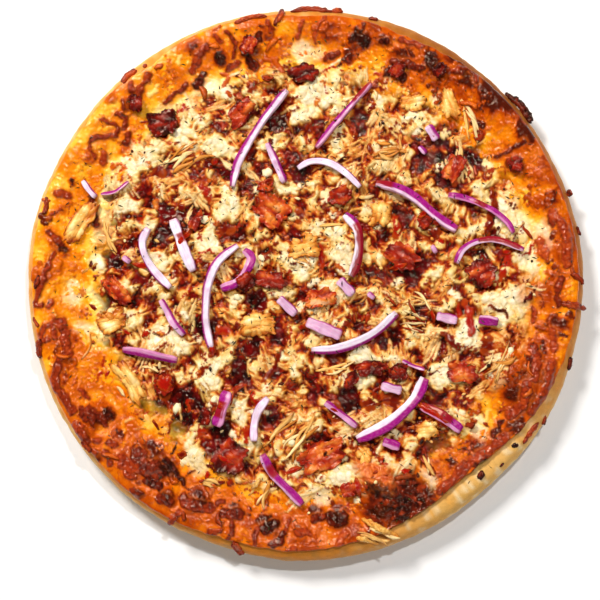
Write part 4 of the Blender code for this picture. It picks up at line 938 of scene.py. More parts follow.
# One great bubble near the lower edge: a glossy shell that broke and burnt to crumbs
grit_near, _, grit_chance = cells(swayed_x, swayed_y, 0.0023, 336)
grit_dome = np.sqrt(np.clip(1.0 - (grit_near / 0.95) ** 2, 0.0, 1.0))
broken_shell = blot(0.0490, -0.1165, 0.0170, 0.0135, 20.0, 401, 0.35, 0.6)
glossy_shell = blot(0.0365, -0.1035, 0.0125, 0.0062, -38.0, 402, 0.35, 0.5)
# Painted highlights: the burnt crumbs of the broken shell are painted lighter on their raised tops
shell_value = -0.02 + 0.52 * grit_dome * grit_chance ** 1.5 + 0.16 * mottle(canvas_x, canvas_y, 0.0060, 338)
cheese_tone = mix(cheese_tone, ramp(np.clip(shell_value, 0.0, 1.0), ridge_ramp), 0.92 * broken_shell)
shell_value = 0.80 + 0.30 * mottle(swayed_x, swayed_y, 0.0040, 339) + 0.10 * grain(canvas_x, canvas_y, 0.0015, 340)
cheese_tone = mix(cheese_tone, ramp(np.clip(shell_value, 0.0, 1.0), ridge_ramp), 0.92 * glossy_shell)
gloss = np.where(broken_shell + glossy_shell > 0.5, 0.15, gloss)
ground += broken_shell * (0.0015 * grit_dome * grit_chance + 0.0007 * mottle(canvas_x, canvas_y, 0.0050, 341))
ground += 0.0013 * glossy_shell * (1.0 + 0.5 * mottle(swayed_x, swayed_y, 0.0030, 343))
charred = np.clip(burnt * (0.95 + 1.1 * crisp), 0.0, 1.0)
cheese_tone = mix(cheese_tone, burnt_cheese, 0.88 * charred)
ground += burnt * (0.0007 * mottle(canvas_x, canvas_y, 0.0030, 48, 2) + 0.0003)

# The layer is modelled in four: a round middle and three turned rings about it, each closed underneath
ring_shares = (0.50, 0.67, 0.83)
lattice_cuts = (12, 11)
ring_spacing = 0.00049
bpy.ops.object.select_all(action="DESELECT")
bpy.ops.mesh.primitive_circle_add(vertices=6, radius=1.0, fill_type="TRIFAN")
middle = bpy.context.object
middle.name = "melted_mozzarella"
bpy.ops.object.mode_set(mode="EDIT")
bpy.ops.mesh.select_all(action="SELECT")
for cuts in lattice_cuts:
    bpy.ops.mesh.subdivide(number_cuts=cuts)
bpy.ops.object.mode_set(mode="OBJECT")
places = read_places(middle)
sector = math.pi / 3.0
length = np.hypot(places[:, 0], places[:, 1])
turned = (np.arctan2(places[:, 1], places[:, 0]) - math.pi / 2.0) % (2.0 * math.pi)
index = np.floor(turned / sector + 1e-6)
inside = turned - index * sector
second = length * np.sin(inside) / math.sin(sector)
ring = second + length * np.sin(sector - inside) / math.sin(sector)
angle = math.pi / 2.0 + (index + second / np.maximum(ring, 1e-9)) * sector
reach = np.clip(ring, 0.0, 1.0) * (ring_shares[0] * radius + 0.0004) * outline_factor(np.degrees(angle))
places[:, 0], places[:, 1] = reach * np.cos(angle), reach * np.sin(angle)
places[:, 2] = sample(ground, places[:, 0], places[:, 1]) - 0.0003 * ease(0.99, 1.0, ring)
write_places(middle, places)
bm = bmesh.new()
bm.from_mesh(middle.data)
rim = [edge for edge in bm.edges if edge.is_boundary]
made = bmesh.ops.extrude_edge_only(bm, edges=rim)["geom"]
rim = [item for item in made if isinstance(item, bmesh.types.BMEdge)]
for vertex in {corner for edge in rim for corner in edge.verts}:
    vertex.co.z = crust_top_section[0][1] - 0.0004
bmesh.ops.contextual_create(bm, geom=rim)
bmesh.ops.recalc_face_normals(bm, faces=bm.faces[:])
bm.to_mesh(middle.data)
bm.free()


def turn_ring(name, inner_share, outer_share, to_edge):
    """A ring of the layer, turned from a closed section and then shaped to the canvas."""
    rows = round((outer_share - inner_share) * radius / ring_spacing)
    shares = np.linspace(inner_share, outer_share, rows + 1)
    line = [(share, 1.0) for share in shares]
    if to_edge:
        line += [(outer_share + 0.0035 * math.sin(turn), math.cos(turn)) for turn in np.radians([25, 50, 75, 90])]
    line += [(share, 0.0) for share in np.linspace(outer_share, inner_share, 4)]
    steps = round(math.pi * (inner_share + outer_share) * radius / ring_spacing)
    ring = turn_section(name, [(share * radius, 0.0, level * 0.001) for share, level in line], True, steps, 0.00001)
    places = read_places(ring)
    degrees = np.degrees(np.arctan2(places[:, 1], places[:, 0])) % 360.0
    share, level = np.hypot(places[:, 0], places[:, 1]) / radius, places[:, 2] / 0.001
    if to_edge:
        true_edge = np.interp(degrees, edge_degrees, edge_table)
        share = inner_share + (share - inner_share) * (true_edge - inner_share) / (outer_share + 0.0035 - inner_share)
    reach = share * radius * outline_factor(degrees)
    places[:, 0], places[:, 1] = reach * np.cos(np.radians(degrees)), reach * np.sin(np.radians(degrees))
    bed = crust_top(share) - 0.0004
    places[:, 2] = bed + (sample(ground, places[:, 0], places[:, 1]) - bed) * level
    write_places(ring, places)
    bpy.ops.object.mode_set(mode="EDIT")
    bpy.ops.mesh.select_all(action="SELECT")
    bpy.ops.mesh.normals_make_consistent(inside=False)
    bpy.ops.object.mode_set(mode="OBJECT")
    return ring


inner_band = turn_ring("melted_cheese_inner_band", ring_shares[0], ring_shares[1] + 0.002, False)
outer_band = turn_ring("melted_cheese_outer_band", ring_shares[1], ring_shares[2] + 0.002, False)
cheddar_ring = turn_ring("melted_cheddar_ring", ring_shares[2], cheese_edge_share - 0.0035, True)
cheese_look = food_material("Melted cheese", 900.0, 2600.0, 0.16, 0.24, 0.20, 0.22, coat=0.0, soft=0.04)
gloss_mark = add_node(cheese_look.node_tree, "ShaderNodeAttribute", attribute_name="gloss")
for block in [item for item in cheese_look.node_tree.nodes if item.type == "GROUP"]:
    cheese_look.node_tree.links.new(gloss_mark.outputs["Fac"], block.inputs["Roughness"])
for part in (middle, inner_band, outer_band, cheddar_ring):
    places = read_places(part)
    paint(part, "tint", sample(cheese_tone, places[:, 0], places[:, 1]))
    mark(part, "gloss", sample(gloss, places[:, 0], places[:, 1]))
    dress(part, cheese_look, "melted_cheese", "cheese")

# Red onion: thin curved slices, lilac-white flesh with a magenta skin along one side, softened by the oven and
# in places glazed with sauce. Each lies where its solid lies.
# Middle line, width, roll in degrees, side of the skin (1 is left of the line's direction), skin share of the
# width, blush of the flesh from white to pink, and the stretch of the line that sauce covers
onions = [
    ([(-0.0110, 0.1055), (-0.0245, 0.0885), (-0.0370, 0.0670), (-0.0405, 0.0530)], 0.0052, 20, -1, 0.45, 0.25, None),
    ([(0.0345, 0.1090), (0.0250, 0.0980), (0.0145, 0.0860), (0.0050, 0.0740)], 0.0040, 25, -1, 0.55, 0.75, (0.0, 0.3)),
    ([(-0.0050, 0.0630), (0.0020, 0.0665), (0.0110, 0.0660), (0.0200, 0.0610), (0.0290, 0.0525)],
     0.0044, 8, 1, 0.10, 0.12, None),
    ([(-0.0215, 0.0765), (-0.0170, 0.0665), (-0.0120, 0.0550)], 0.0044, 15, 1, 0.25, 0.45, None),
    ([(0.0375, 0.0545), (0.0495, 0.0515), (0.0585, 0.0465), (0.0700, 0.0365), (0.0810, 0.0290)],
     0.0062, -28, 1, 0.70, 0.45, (0.0, 0.18)),
    ([(0.0655, 0.0855), (0.0705, 0.0780)], 0.0056, 10, 1, 0.35, 0.45, None),
    ([(0.0765, 0.0480), (0.0875, 0.0455), (0.1000, 0.0395), (0.1080, 0.0330), (0.1115, 0.0270)],
     0.0034, 30, 1, 0.60, 0.95, (0.35, 0.5)),
    ([(0.0805, 0.0110), (0.0840, 0.0180), (0.0915, 0.0225), (0.1025, 0.0235), (0.1170, 0.0180)],
     0.0038, 20, 1, 0.40, 0.45, (0.42, 0.95)),
    ([(0.0700, -0.0175), (0.0810, -0.0200)], 0.0060, 5, 1, 0.15, 0.55, None),
    ([(0.0925, -0.0195), (0.1030, -0.0210)], 0.0060, 20, -1, 0.80, 0.70, None),
    ([(-0.0375, 0.0210), (-0.0480, 0.0125), (-0.0535, 0.0005), (-0.0550, -0.0130), (-0.0545, -0.0240),
      (-0.0520, -0.0345)], 0.0054, 18, -1, 0.33, 0.15, None),
    ([(-0.0340, 0.0185), (-0.0300, 0.0140), (-0.0325, 0.0070), (-0.0375, 0.0010), (-0.0465, -0.0025)],
     0.0050, 35, 1, 0.50, 0.80, None),
    ([(0.0205, 0.0375), (0.0270, 0.0305), (0.0285, 0.0210), (0.0270, 0.0110), (0.0240, 0.0040)],
     0.0060, -15, 1, 0.42, 0.02, (0.2, 1.0)),
    ([(0.0175, 0.0020), (0.0250, -0.0060)], 0.0060, 15, 1, 0.10, 0.55, None),
    ([(-0.0150, -0.0080), (-0.0060, -0.0165)], 0.0058, 10, 1, 0.10, 0.55, None),
    ([(0.0000, -0.0205), (0.0185, -0.0280)], 0.0074, 5, 1, 0.08, 0.62, None),
    ([(0.0025, -0.0360), (0.0150, -0.0355), (0.0280, -0.0315), (0.0390, -0.0250), (0.0485, -0.0160)],
     0.0058, 20, -1, 0.38, 0.02, None),
    ([(0.0400, -0.0550), (0.0510, -0.0578)], 0.0056, 5, 1, 0.12, 0.50, None),
    ([(-0.0430, -0.0580), (-0.0460, -0.0680), (-0.0490, -0.0770)], 0.0072, 10, -1, 0.60, 0.85, (0.30, 0.75)),
    ([(-0.0860, 0.0305), (-0.0895, 0.0235), (-0.0875, 0.0145), (-0.0820, 0.0060), (-0.0740, -0.0020)],
     0.0052, 12, -1, 0.20, 0.18, None),
    ([(-0.0730, 0.0355), (-0.0690, 0.0250), (-0.0655, 0.0160), (-0.0615, 0.0070)], 0.0064, 5, 1, 0.03, 0.12,
     (0.28, 0.45)),
    ([(-0.0790, -0.0085), (-0.0755, -0.0150), (-0.0725, -0.0205), (-0.0665, -0.0275)],
     0.0042, 20, 1, 0.25, 0.60, None),
    ([(-0.1000, -0.0355), (-0.0905, -0.0370), (-0.0795, -0.0395), (-0.0700, -0.0415)],
     0.0052, 30, -1, 0.55, 0.85, None),
    ([(-0.0210, -0.0615), (-0.0265, -0.0690), (-0.0285, -0.0770), (-0.0285, -0.0850)],
     0.0052, 10, -1, 0.12, 0.22, None),
    ([(-0.0240, -0.0920), (-0.0205, -0.0990), (-0.0170, -0.1040), (-0.0105, -0.1105), (-0.0025, -0.1190)],
     0.0050, 30, 1, 0.65, 0.70, (0.2, 0.4)),
    ([(0.0100, -0.0640), (0.0180, -0.0700), (0.0270, -0.0770)], 0.0038, 25, 1, 0.20, 0.75, None),
    ([(0.0635, -0.0510), (0.0575, -0.0630), (0.0440, -0.0755), (0.0270, -0.0840)], 0.0072, 25, 1, 0.52, 0.02, None),
    ([(0.0410, -0.0850), (0.0500, -0.0880)], 0.0056, 20, 1, 0.55, 0.80, None),
    ([(0.0615, -0.0660), (0.0720, -0.0710), (0.0830, -0.0790)], 0.0066, 15, 1, 0.60, 0.80, (0.0, 0.72)),
]
# Thin slivers and small scraps between the slices
onion_scraps = [
    ([(-0.1220, 0.0565), (-0.1185, 0.0515), (-0.1150, 0.0475)], 0.0034, 10, 1, 0.10, 0.15, None),
    ([(-0.1125, 0.0495), (-0.1045, 0.0505), (-0.0970, 0.0560)], 0.0020, 10, 1, 0.60, 0.70, None),
    ([(0.0515, -0.0415), (0.0575, -0.0445), (0.0635, -0.0465)], 0.0022, 10, 1, 0.45, 0.70, None),
    ([(-0.0345, 0.0960), (-0.0310, 0.0990)], 0.0036, 10, 1, 0.60, 0.60, None),
    ([(0.0610, 0.0745), (0.0645, 0.0705)], 0.0034, 10, 1, 0.50, 0.60, None),
    ([(0.0675, 0.0205), (0.0700, 0.0165)], 0.0032, 10, 1, 0.10, 0.70, None),
    ([(-0.1000, 0.0150), (-0.0960, 0.0120)], 0.0034, 10, 1, 0.10, 0.70, None),
    ([(0.0330, -0.0050), (0.0365, -0.0080)], 0.0032, 10, 1, 0.20, 0.70, None),
]
onion_thickness = 0.0029
onion_lift = 0.0007
onion_station = 0.0009
blocked = np.zeros_like(ground, dtype=bool)


def raise_ground(x, y, tops, reach, layer=None):
    """Raises the canvas to these tops in a disc about each place, or marks a layer there."""
    cells = max(1, int(round(reach / canvas_step)))
    for at_x, at_y, top in zip(np.atleast_1d(x), np.atleast_1d(y), np.atleast_1d(tops)):
        column, row = cell_of(at_x), cell_of(at_y)
        window = (slice(max(0, row - cells), row + cells + 1), slice(max(0, column - cells), column + cells + 1))
        away = np.hypot(canvas_x[window] - at_x, canvas_y[window] - at_y)
        inside = away <= reach
        if layer is not None:
            layer[window] |= inside
        lifted = np.where(inside, top - 0.35 * away, 0.0)
        ground[window] = np.maximum(ground[window], lifted)


def supported(x, y, along, reach, slope, step):
    """The lowest line that clears the canvas under a strip of this half width and bends no steeper than slope."""
    sides = np.stack([-along[:, 1], along[:, 0]], axis=1)
    heights = np.max([sample(ground, x + share * reach * sides[:, 0], y + share * reach * sides[:, 1])
                      for share in (-1.0, -0.5, 0.0, 0.5, 1.0)], axis=0)
    for order in (range(1, len(heights)), range(len(heights) - 2, -1, -1)):
        for place in order:
            before = place - 1 if order.step > 0 else place + 1
            heights[place] = max(heights[place], heights[before] - slope * step)
    smooth = np.convolve(np.pad(heights, 2, mode="edge"), np.ones(5) / 5.0, mode="valid")
    return np.maximum(heights, smooth)


def sweep(ring_across, ring_up, x, y, z, along, roll):
    """Places of a cross-section carried along a line: one row of the section at each station."""
    across = ring_across * np.cos(roll)[:, None] - ring_up * np.sin(roll)[:, None]
    up = ring_across * np.sin(roll)[:, None] + ring_up * np.cos(roll)[:, None]
    side_x, side_y = -along[:, 1][:, None], along[:, 0][:, None]
    return np.stack([x[:, None] + across * side_x, y[:, None] + across * side_y, z[:, None] + up], axis=2)


def tube_faces(stations, sides, first=0):
    """Faces round a swept section, with both ends closed."""
    faces = []
    for station in range(stations - 1):
        for side in range(sides):
            after = (side + 1) % sides
            here, ahead = first + station * sides, first + (station + 1) * sides
            faces.append((here + side, here + after, ahead + after, ahead + side))
    faces.append(tuple(first + side for side in range(sides))[::-1])
    faces.append(tuple(first + (stations - 1) * sides + side for side in range(sides)))
    return faces


onion_flesh = srgb(240, 226, 240)
onion_pink = srgb(206, 112, 168)
onion_skin = srgb(158, 10, 122)
onion_vein = srgb(200, 132, 196)
glaze_red = srgb(150, 18, 10)
# The section of a slice, from the left across the top to the right and back underneath, as shares of its half
# width and of its thickness
slice_section = np.array([(1.0, 0.20), (1.0, 0.55), (0.97, 0.84), (0.88, 0.97), (0.7, 0.99), (0.5, 0.97), (0.3, 0.95),
                          (0.1, 0.94), (-0.1, 0.94), (-0.3, 0.95), (-0.5, 0.97), (-0.7, 0.99), (-0.88, 0.97),
                          (-0.97, 0.84), (-1.0, 0.55), (-1.0, 0.20), (-0.9, 0.04), (-0.4, 0.0), (0.4, 0.0),
                          (0.9, 0.04)])


def slice_onion(number, points, width, roll_degrees, skin_side, skin_share, blush, sauced):
    """One slice: its section swept along its line, laid on the cheese and coloured across its width."""
    draw = random.Random(900 + number)
    x, y, along, run = even_line(points, onion_station)
    stations = len(x)
    t = run / run[-1]
    tip_slope = 3.0 if len(points) > 2 else 6.0
    taper = np.clip(0.70 + tip_slope * np.minimum(t, 1.0 - t), 0.0, 1.0) * (0.94 + 0.08 * np.sin(9.0 * t + number))
    half = 0.46 * width * taper * (1.0 + 0.05 * grain(run, 0.0 * run, 0.004, 70 + number))
    roll = np.full(stations, math.radians(roll_degrees) * 0.6) + 0.10 * np.sin(5.0 * t + number)
    across = half[:, None] * slice_section[:, 0][None, :]
    corners = np.arange(len(slice_section))
    ripple = 1.0 + 0.06 * grain(run[:, None] * np.ones(len(corners)), corners * 0.003, 0.006, number)
    up = onion_thickness * (slice_section[:, 1][None, :] - 0.5) * ripple
    dip = ease(1.0 - 2.0 * skin_share, 1.0, slice_section[:, 0] * skin_side)
    up = up - onion_thickness * 0.35 * dip[None, :] * (slice_section[:, 1][None, :] > 0.5)
    rest = supported(x, y, along, 0.5 * width, 0.30, onion_station) + 0.0002
    rest = rest + onion_lift * ease(0.0, 0.15, t * (1 - t) * 4)
    z = rest + 0.5 * onion_thickness + np.abs(half * np.sin(roll)) * 0.8
    places = sweep(across, up, x, y, z, along, roll)
    piece = new_piece(f"onion_slice_{number:02d}", places.reshape(-1, 3).tolist(),
                      tube_faces(stations, len(slice_section)))
    raise_ground(x, y, z + 0.4 * onion_thickness, 0.5 * width, blocked)
    flat_x, flat_run = np.broadcast_to(slice_section[:, 0], across.shape), np.broadcast_to(run[:, None], across.shape)
    fibre = grain(flat_run, flat_x * 0.004, 0.0011, 40 + number)
    lines = grain(flat_run * 0.15, flat_x * 0.0040, 0.0007, 60 + number)
    flesh = mix(np.broadcast_to(onion_flesh, across.shape + (3,)), onion_pink, np.clip(blush + 0.22 * lines, 0.0, 1.0))
    flesh = mix(flesh, onion_vein, 0.30 * ease(0.1, 0.7, lines) * (0.4 + blush))
    skin = ease(1.0 - 2.0 * skin_share - 0.12, 1.0 - 2.0 * skin_share + 0.10, flat_x * skin_side + 0.05 * fibre)
    skin = skin * ease(0.0, 0.02, skin_share)
    skin_tone = mix(np.broadcast_to(onion_skin, flesh.shape), onion_pink, 0.35 * ease(-0.2, 0.8, fibre))
    tone = mix(flesh, skin_tone, skin)
    if sauced is not None:
        start, end = sauced
        covered = ease(start - 0.03, start + 0.02, t) * ease(end + 0.03, end - 0.02, t)
        over = covered[:, None] * ease(-0.9, -0.3, flat_x * skin_side + 0.5 * lines)
        tone = mix(tone, glaze_red, 0.92 * over)
    tips = ease(0.05, 0.0, np.minimum(t, 1.0 - t))
    tone = mix(tone, srgb(176, 96, 60), 0.45 * tips[:, None] * draw.random())
    paint(piece, "tint", tone.reshape(-1, 3))
    lay = np.stack([flat_run * 0.25, flat_x * width * 0.5, np.broadcast_to(slice_section[:, 1] * 0.003, across.shape)],
                   axis=2)
    store_lay(piece, lay.reshape(-1, 3))
    return piece


def store_lay(piece, vectors):
    """Stores the coordinates that follow a strip's own length and width."""
    layer = piece.data.attributes.new("lay", "FLOAT_VECTOR", "POINT")
    layer.data.foreach_set("vector", np.ascontiguousarray(vectors, dtype=float).ravel())


onion_look = food_material("Red onion", 500.0, 2600.0, 0.10, 0.24, 0.15, 0.20, place="lay", soft=0.12)
for number, slice_shape in enumerate(onions, start=1):
    dress(slice_onion(number, *slice_shape), onion_look, "red_onion", f"onion_{number:02d}")
for number, slice_shape in enumerate(onion_scraps, start=len(onions) + 1):
    dress(slice_onion(number, *slice_shape), onion_look, "red_onion")

# Bacon: fried scraps of streaky bacon, curled and glossy, dark red where lean and orange or pink where fat.
# Place, length, width, turn in degrees, and how light the scrap is, from 0 for burnt lean to 1 for fat
bacon_scraps = [
    ((-0.0785, 0.0885), 0.016, 0.015, 8.0, 0.25), ((-0.0355, 0.0935), 0.017, 0.010, 57.0, 0.55),
    ((-0.0015, 0.1150), 0.015, 0.009, 0.0, 0.25), ((-0.0190, 0.0400), 0.020, 0.017, -45.0, 0.60),
    ((0.0180, 0.0480), 0.012, 0.009, 20.0, 0.50), ((0.0070, -0.0080), 0.016, 0.010, 10.0, 0.75),
    ((-0.0200, 0.0020), 0.016, 0.009, -12.0, 0.40), ((0.0345, -0.0460), 0.016, 0.008, 5.0, 0.40),
    ((0.0830, -0.0480), 0.016, 0.011, -10.0, 0.60), ((0.0940, 0.0060), 0.015, 0.015, 30.0, 0.40),
    ((0.0520, 0.0145), 0.018, 0.013, -30.0, 0.50), ((0.0795, 0.0630), 0.017, 0.010, 65.0, 0.60),
    ((-0.0415, -0.0925), 0.018, 0.017, 45.0, 0.30), ((0.0080, -0.0930), 0.026, 0.014, 25.0, 0.65),
    ((0.0225, -0.1110), 0.008, 0.008, 0.0, 0.60), ((-0.0775, -0.0540), 0.012, 0.010, 90.0, 0.42),
    ((-0.1040, -0.0025), 0.018, 0.009, -45.0, 0.62),
]
# Small crumbs of bacon that have no solid of their own
bacon_crumbs = [
    ((0.0498, -0.0477), 0.010, 0.008, 20.0, 0.35), ((-0.0606, 0.0352), 0.010, 0.007, 70.0, 0.55),
    ((-0.0931, 0.0986), 0.007, 0.009, 0.0, 0.30), ((-0.0314, 0.1305), 0.011, 0.008, 60.0, 0.45),
    ((0.1126, 0.0644), 0.008, 0.008, 0.0, 0.40), ((0.0487, 0.1159), 0.009, 0.006, 30.0, 0.35),
    ((-0.0222, 0.0531), 0.009, 0.006, 10.0, 0.50), ((0.0720, 0.1153), 0.008, 0.006, 50.0, 0.30),
    ((-0.0330, 0.0010), 0.010, 0.009, 40.0, 0.30), ((-0.0550, -0.0720), 0.009, 0.006, 80.0, 0.30),
    ((0.0640, 0.0330), 0.008, 0.006, 30.0, 0.45), ((0.0240, -0.0520), 0.009, 0.006, 60.0, 0.35),
]
bacon_ramp = [(0.0, srgb(52, 8, 6)), (0.25, srgb(104, 16, 10)), (0.5, srgb(162, 36, 16)), (0.7, srgb(200, 80, 24)),
              (0.88, srgb(228, 132, 50)), (1.0, srgb(240, 178, 126))]
bacon_thickness = 0.0019
bacon_lift = 0.0005


def torn_sheet(name, columns, rows, roundness, tears):
    """A flat grid with rounded corners, with its grid places, its shape, and how far its torn outline reaches."""
    bpy.ops.object.select_all(action="DESELECT")
    bpy.ops.mesh.primitive_grid_add(x_subdivisions=columns, y_subdivisions=rows, size=2.0)
    piece = bpy.context.object
    piece.name = name
    flat = read_places(piece)
    u, v = flat[:, 0].copy(), flat[:, 1].copy()
    round_u, round_v = u * np.sqrt(1.0 - v * v / 2.0), v * np.sqrt(1.0 - u * u / 2.0)
    u, v = u + (round_u - u) * roundness, v + (round_v - v) * roundness
    turned = np.arctan2(v, u)
    ragged = 1.0
    for depth, size, seed in tears:
        ragged = ragged + depth * grain(np.cos(turned) * 0.02, np.sin(turned) * 0.02, size, seed)
    return piece, flat, u, v, turned, ragged


def thicken(piece, thickness, rounding):
    """Gives a folded sheet its thickness, and rounds its edges."""
    wall = piece.modifiers.new("wall", "SOLIDIFY")
    wall.thickness = thickness
    wall.offset = 0.0
    bpy.ops.object.modifier_apply(modifier="wall")
    round_edges = piece.modifiers.new("rounding", "BEVEL")
    round_edges.width = rounding
    round_edges.segments = 2
    round_edges.angle_limit = math.radians(50.0)
    bpy.ops.object.modifier_apply(modifier="rounding")


def fry_bacon(number, place, length, width, turn_degrees, lightness):
    """One scrap: a grid with a torn outline, laid on the cheese, folded, and given its thickness."""
    piece, flat, u, v, turned, ragged = torn_sheet(
        f"bacon_scrap_{number:02d}", 34, 28, 0.75, [(0.30, 0.013, 500 + number), (0.14, 0.0045, 520 + number)])
    along, across = u * ragged * length / 2.0, v * ragged * width / 2.0
    turn = math.radians(turn_degrees)
    x = place[0] + along * math.cos(turn) - across * math.sin(turn)
    y = place[1] + along * math.sin(turn) + across * math.cos(turn)
    edge = ease(0.60, 1.0, np.maximum(np.abs(flat[:, 0]), np.abs(flat[:, 1])))
    folds = grain(along * 0.5 + 0.1 * number, across, 0.0042, 540 + number)
    wave = 0.0012 * folds + 0.0006 * mottle(along, across, 0.0030, 545 + number, 2)
    curl = 0.0012 * edge * (0.2 + 1.2 * grain(np.cos(turned), np.sin(turned), 0.8, 560 + number))
    around = [(0.0, 0.0), (0.0015, 0.0), (-0.0015, 0.0), (0.0, 0.0015), (0.0, -0.0015)]
    near = np.max([sample(ground, x + aside_x, y + aside_y) for aside_x, aside_y in around], axis=0)
    rest = 0.5 * near + 0.5 * near.mean() + bacon_lift + 0.0009
    places = np.stack([x, y, rest + wave + curl], axis=1)
    write_places(piece, places)
    streaks = (grain(along * 0.30 + 0.3, across, 0.0036, 600 + number)
               + 0.35 * grain(along, across, 0.0018, 620 + number))
    # Painted light and shade: lighter on the crests of the folds, darker in their hollows; the fat streaks and darker
    # torn edges are the scrap's own colour
    value = lightness + 0.34 * streaks + 0.22 * folds - 0.22 * edge * (0.5 + grain(along, across, 0.004, 630 + number))
    paint(piece, "tint", ramp(np.clip(value, 0.0, 1.0), bacon_ramp))
    raise_ground(x[::3], y[::3], places[::3, 2] + 0.5 * bacon_thickness, 0.0009, blocked)
    thicken(piece, bacon_thickness, 0.0004)
    return piece


bacon_look = food_material("Fried bacon", 700.0, 2400.0, 0.22, 0.17, 0.20, 0.25, soft=0.05)
for number, scrap in enumerate(bacon_scraps, start=1):
    dress(fry_bacon(number, *scrap), bacon_look, "fried_bacon", f"bacon_{number:02d}")
for number, scrap in enumerate(bacon_crumbs, start=len(bacon_scraps) + 1):
    dress(fry_bacon(number, *scrap), bacon_look, "fried_bacon")

# Chicken: larger torn pieces of roast breast, pale and fibrous, browned along their edges.
# Place, length, width, height and turn in degrees
chicken_chunks = [
    ((-0.1240, 0.0330), 0.022, 0.010, 0.0055, 57.0),
    ((-0.1060, -0.0205), 0.014, 0.010, 0.0055, 30.0),
    ((-0.0955, -0.0530), 0.021, 0.008, 0.0055, -58.0),
    ((0.0770, 0.0975), 0.013, 0.009, 0.0050, -70.0),
    ((0.0570, 0.0985), 0.012, 0.009, 0.0050, 10.0),
    ((-0.0270, -0.0210), 0.016, 0.012, 0.0060, 5.0),
    ((-0.0010, 0.0200), 0.014, 0.011, 0.0055, 20.0),
    ((0.0400, 0.0375), 0.012, 0.010, 0.0055, 80.0),
    ((0.0310, -0.0925), 0.008, 0.007, 0.0050, -60.0),
    ((0.0640, -0.0790), 0.010, 0.009, 0.0060, 10.0),
]
chicken_ramp = [(0.0, srgb(136, 50, 12)), (0.2, srgb(192, 98, 26)), (0.45, srgb(228, 152, 60)),
                (0.7, srgb(246, 200, 112)), (1.0, srgb(253, 232, 180))]
chicken_thickness = 0.0019


def tear_chicken(number, place, length, width, height, turn_degrees):
    """One torn piece: a grid with a frayed outline, arched, grooved along its fibres, and given its thickness."""
    piece, flat, u, v, _, ragged = torn_sheet(
        f"chicken_flake_{number:02d}", 40, 30, 0.6, [(0.30, 0.012, 700 + number), (0.20, 0.0040, 720 + number)])
    along, across = 1.15 * u * ragged * length / 2.0, v * ragged * width / 2.0
    turn = math.radians(turn_degrees)
    bow = 0.12 * length * (number % 3 - 1) * u * u
    x = place[0] + along * math.cos(turn) - (across + bow) * math.sin(turn)
    y = place[1] + along * math.sin(turn) + (across + bow) * math.cos(turn)
    fibre = (grain(along * 0.14 + 0.2 * number, across, 0.0011, 740 + number)
             + 0.6 * grain(along * 0.2, across, 0.0024, 745 + number))
    edge = ease(0.55, 1.0, np.maximum(np.abs(flat[:, 0]), np.abs(flat[:, 1])))
    rest = 0.5 * sample(ground, x, y) + 0.5 * float(np.median(sample(ground, x, y)))
    arch = 0.16 * height * (1.0 - edge)
    lumps = 0.0012 * grain(along * 0.6, across, 0.0040, 760 + number)
    z = rest + 0.0008 + arch + lumps + 0.00028 * fibre
    write_places(piece, np.stack([x, y, z], axis=1))
    # Painted light and shade: the flake is painted lighter where its lumps rise and darker in the hollows between them
    value = 0.55 + 0.20 * fibre + 0.36 * grain(along * 0.6, across, 0.0045, 770 + number) - 0.40 * edge + 130.0 * lumps
    value += 0.30 * edge * grain(along, across, 0.0030, 780 + number)
    paint(piece, "tint", ramp(np.clip(value, 0.0, 1.0), chicken_ramp))
    store_lay(piece, np.stack([along * 0.2, across, z], axis=1))
    raise_ground(x[::3], y[::3], z[::3] + 0.0010, 0.0009, blocked)
    thicken(piece, chicken_thickness, 0.0006)
    return piece


meat_look = food_material("Roast chicken", 900.0, 2600.0, 0.16, 0.24, 0.20, 0.30, place="lay", soft=0.08)
for number, chunk in enumerate(chicken_chunks, start=1):
    dress(tear_chicken(number, *chunk), meat_look, "roast_chicken", f"chicken_{number:02d}")

# Pulled chicken: hundreds of torn strands in loose bundles, tossed over the cheese before baking. They are
# cream inside, golden on top, brown at their tips, browned and painted with shade along their sides, painted darker
# underneath as painted shade, and some are stained by the sauce.
strand_step = 0.0018
strand_sides = 6


class Heap:
    """Many small closed pieces of food gathered into one mesh."""

    def __init__(self):
        self.places = []
        self.faces = []
        self.tones = []
        self.lays = []
        self.count = 0

    def add(self, places, faces, tones, lay):
        self.places.append(places)
        self.faces += faces
        self.tones.append(tones)
        self.lays.append(lay)
        self.count += len(places)

    def add_form(self, places, form_faces, tones):
        """Adds a piece whose faces count from its own first corner."""
        self.add(places, [tuple(self.count + corner for corner in face) for face in form_faces], tones, places.copy())

    def build(self, name):
        piece = new_piece(name, np.vstack(self.places).tolist(), self.faces)
        paint(piece, "tint", np.vstack(self.tones))
        store_lay(piece, np.vstack(self.lays))
        return piece


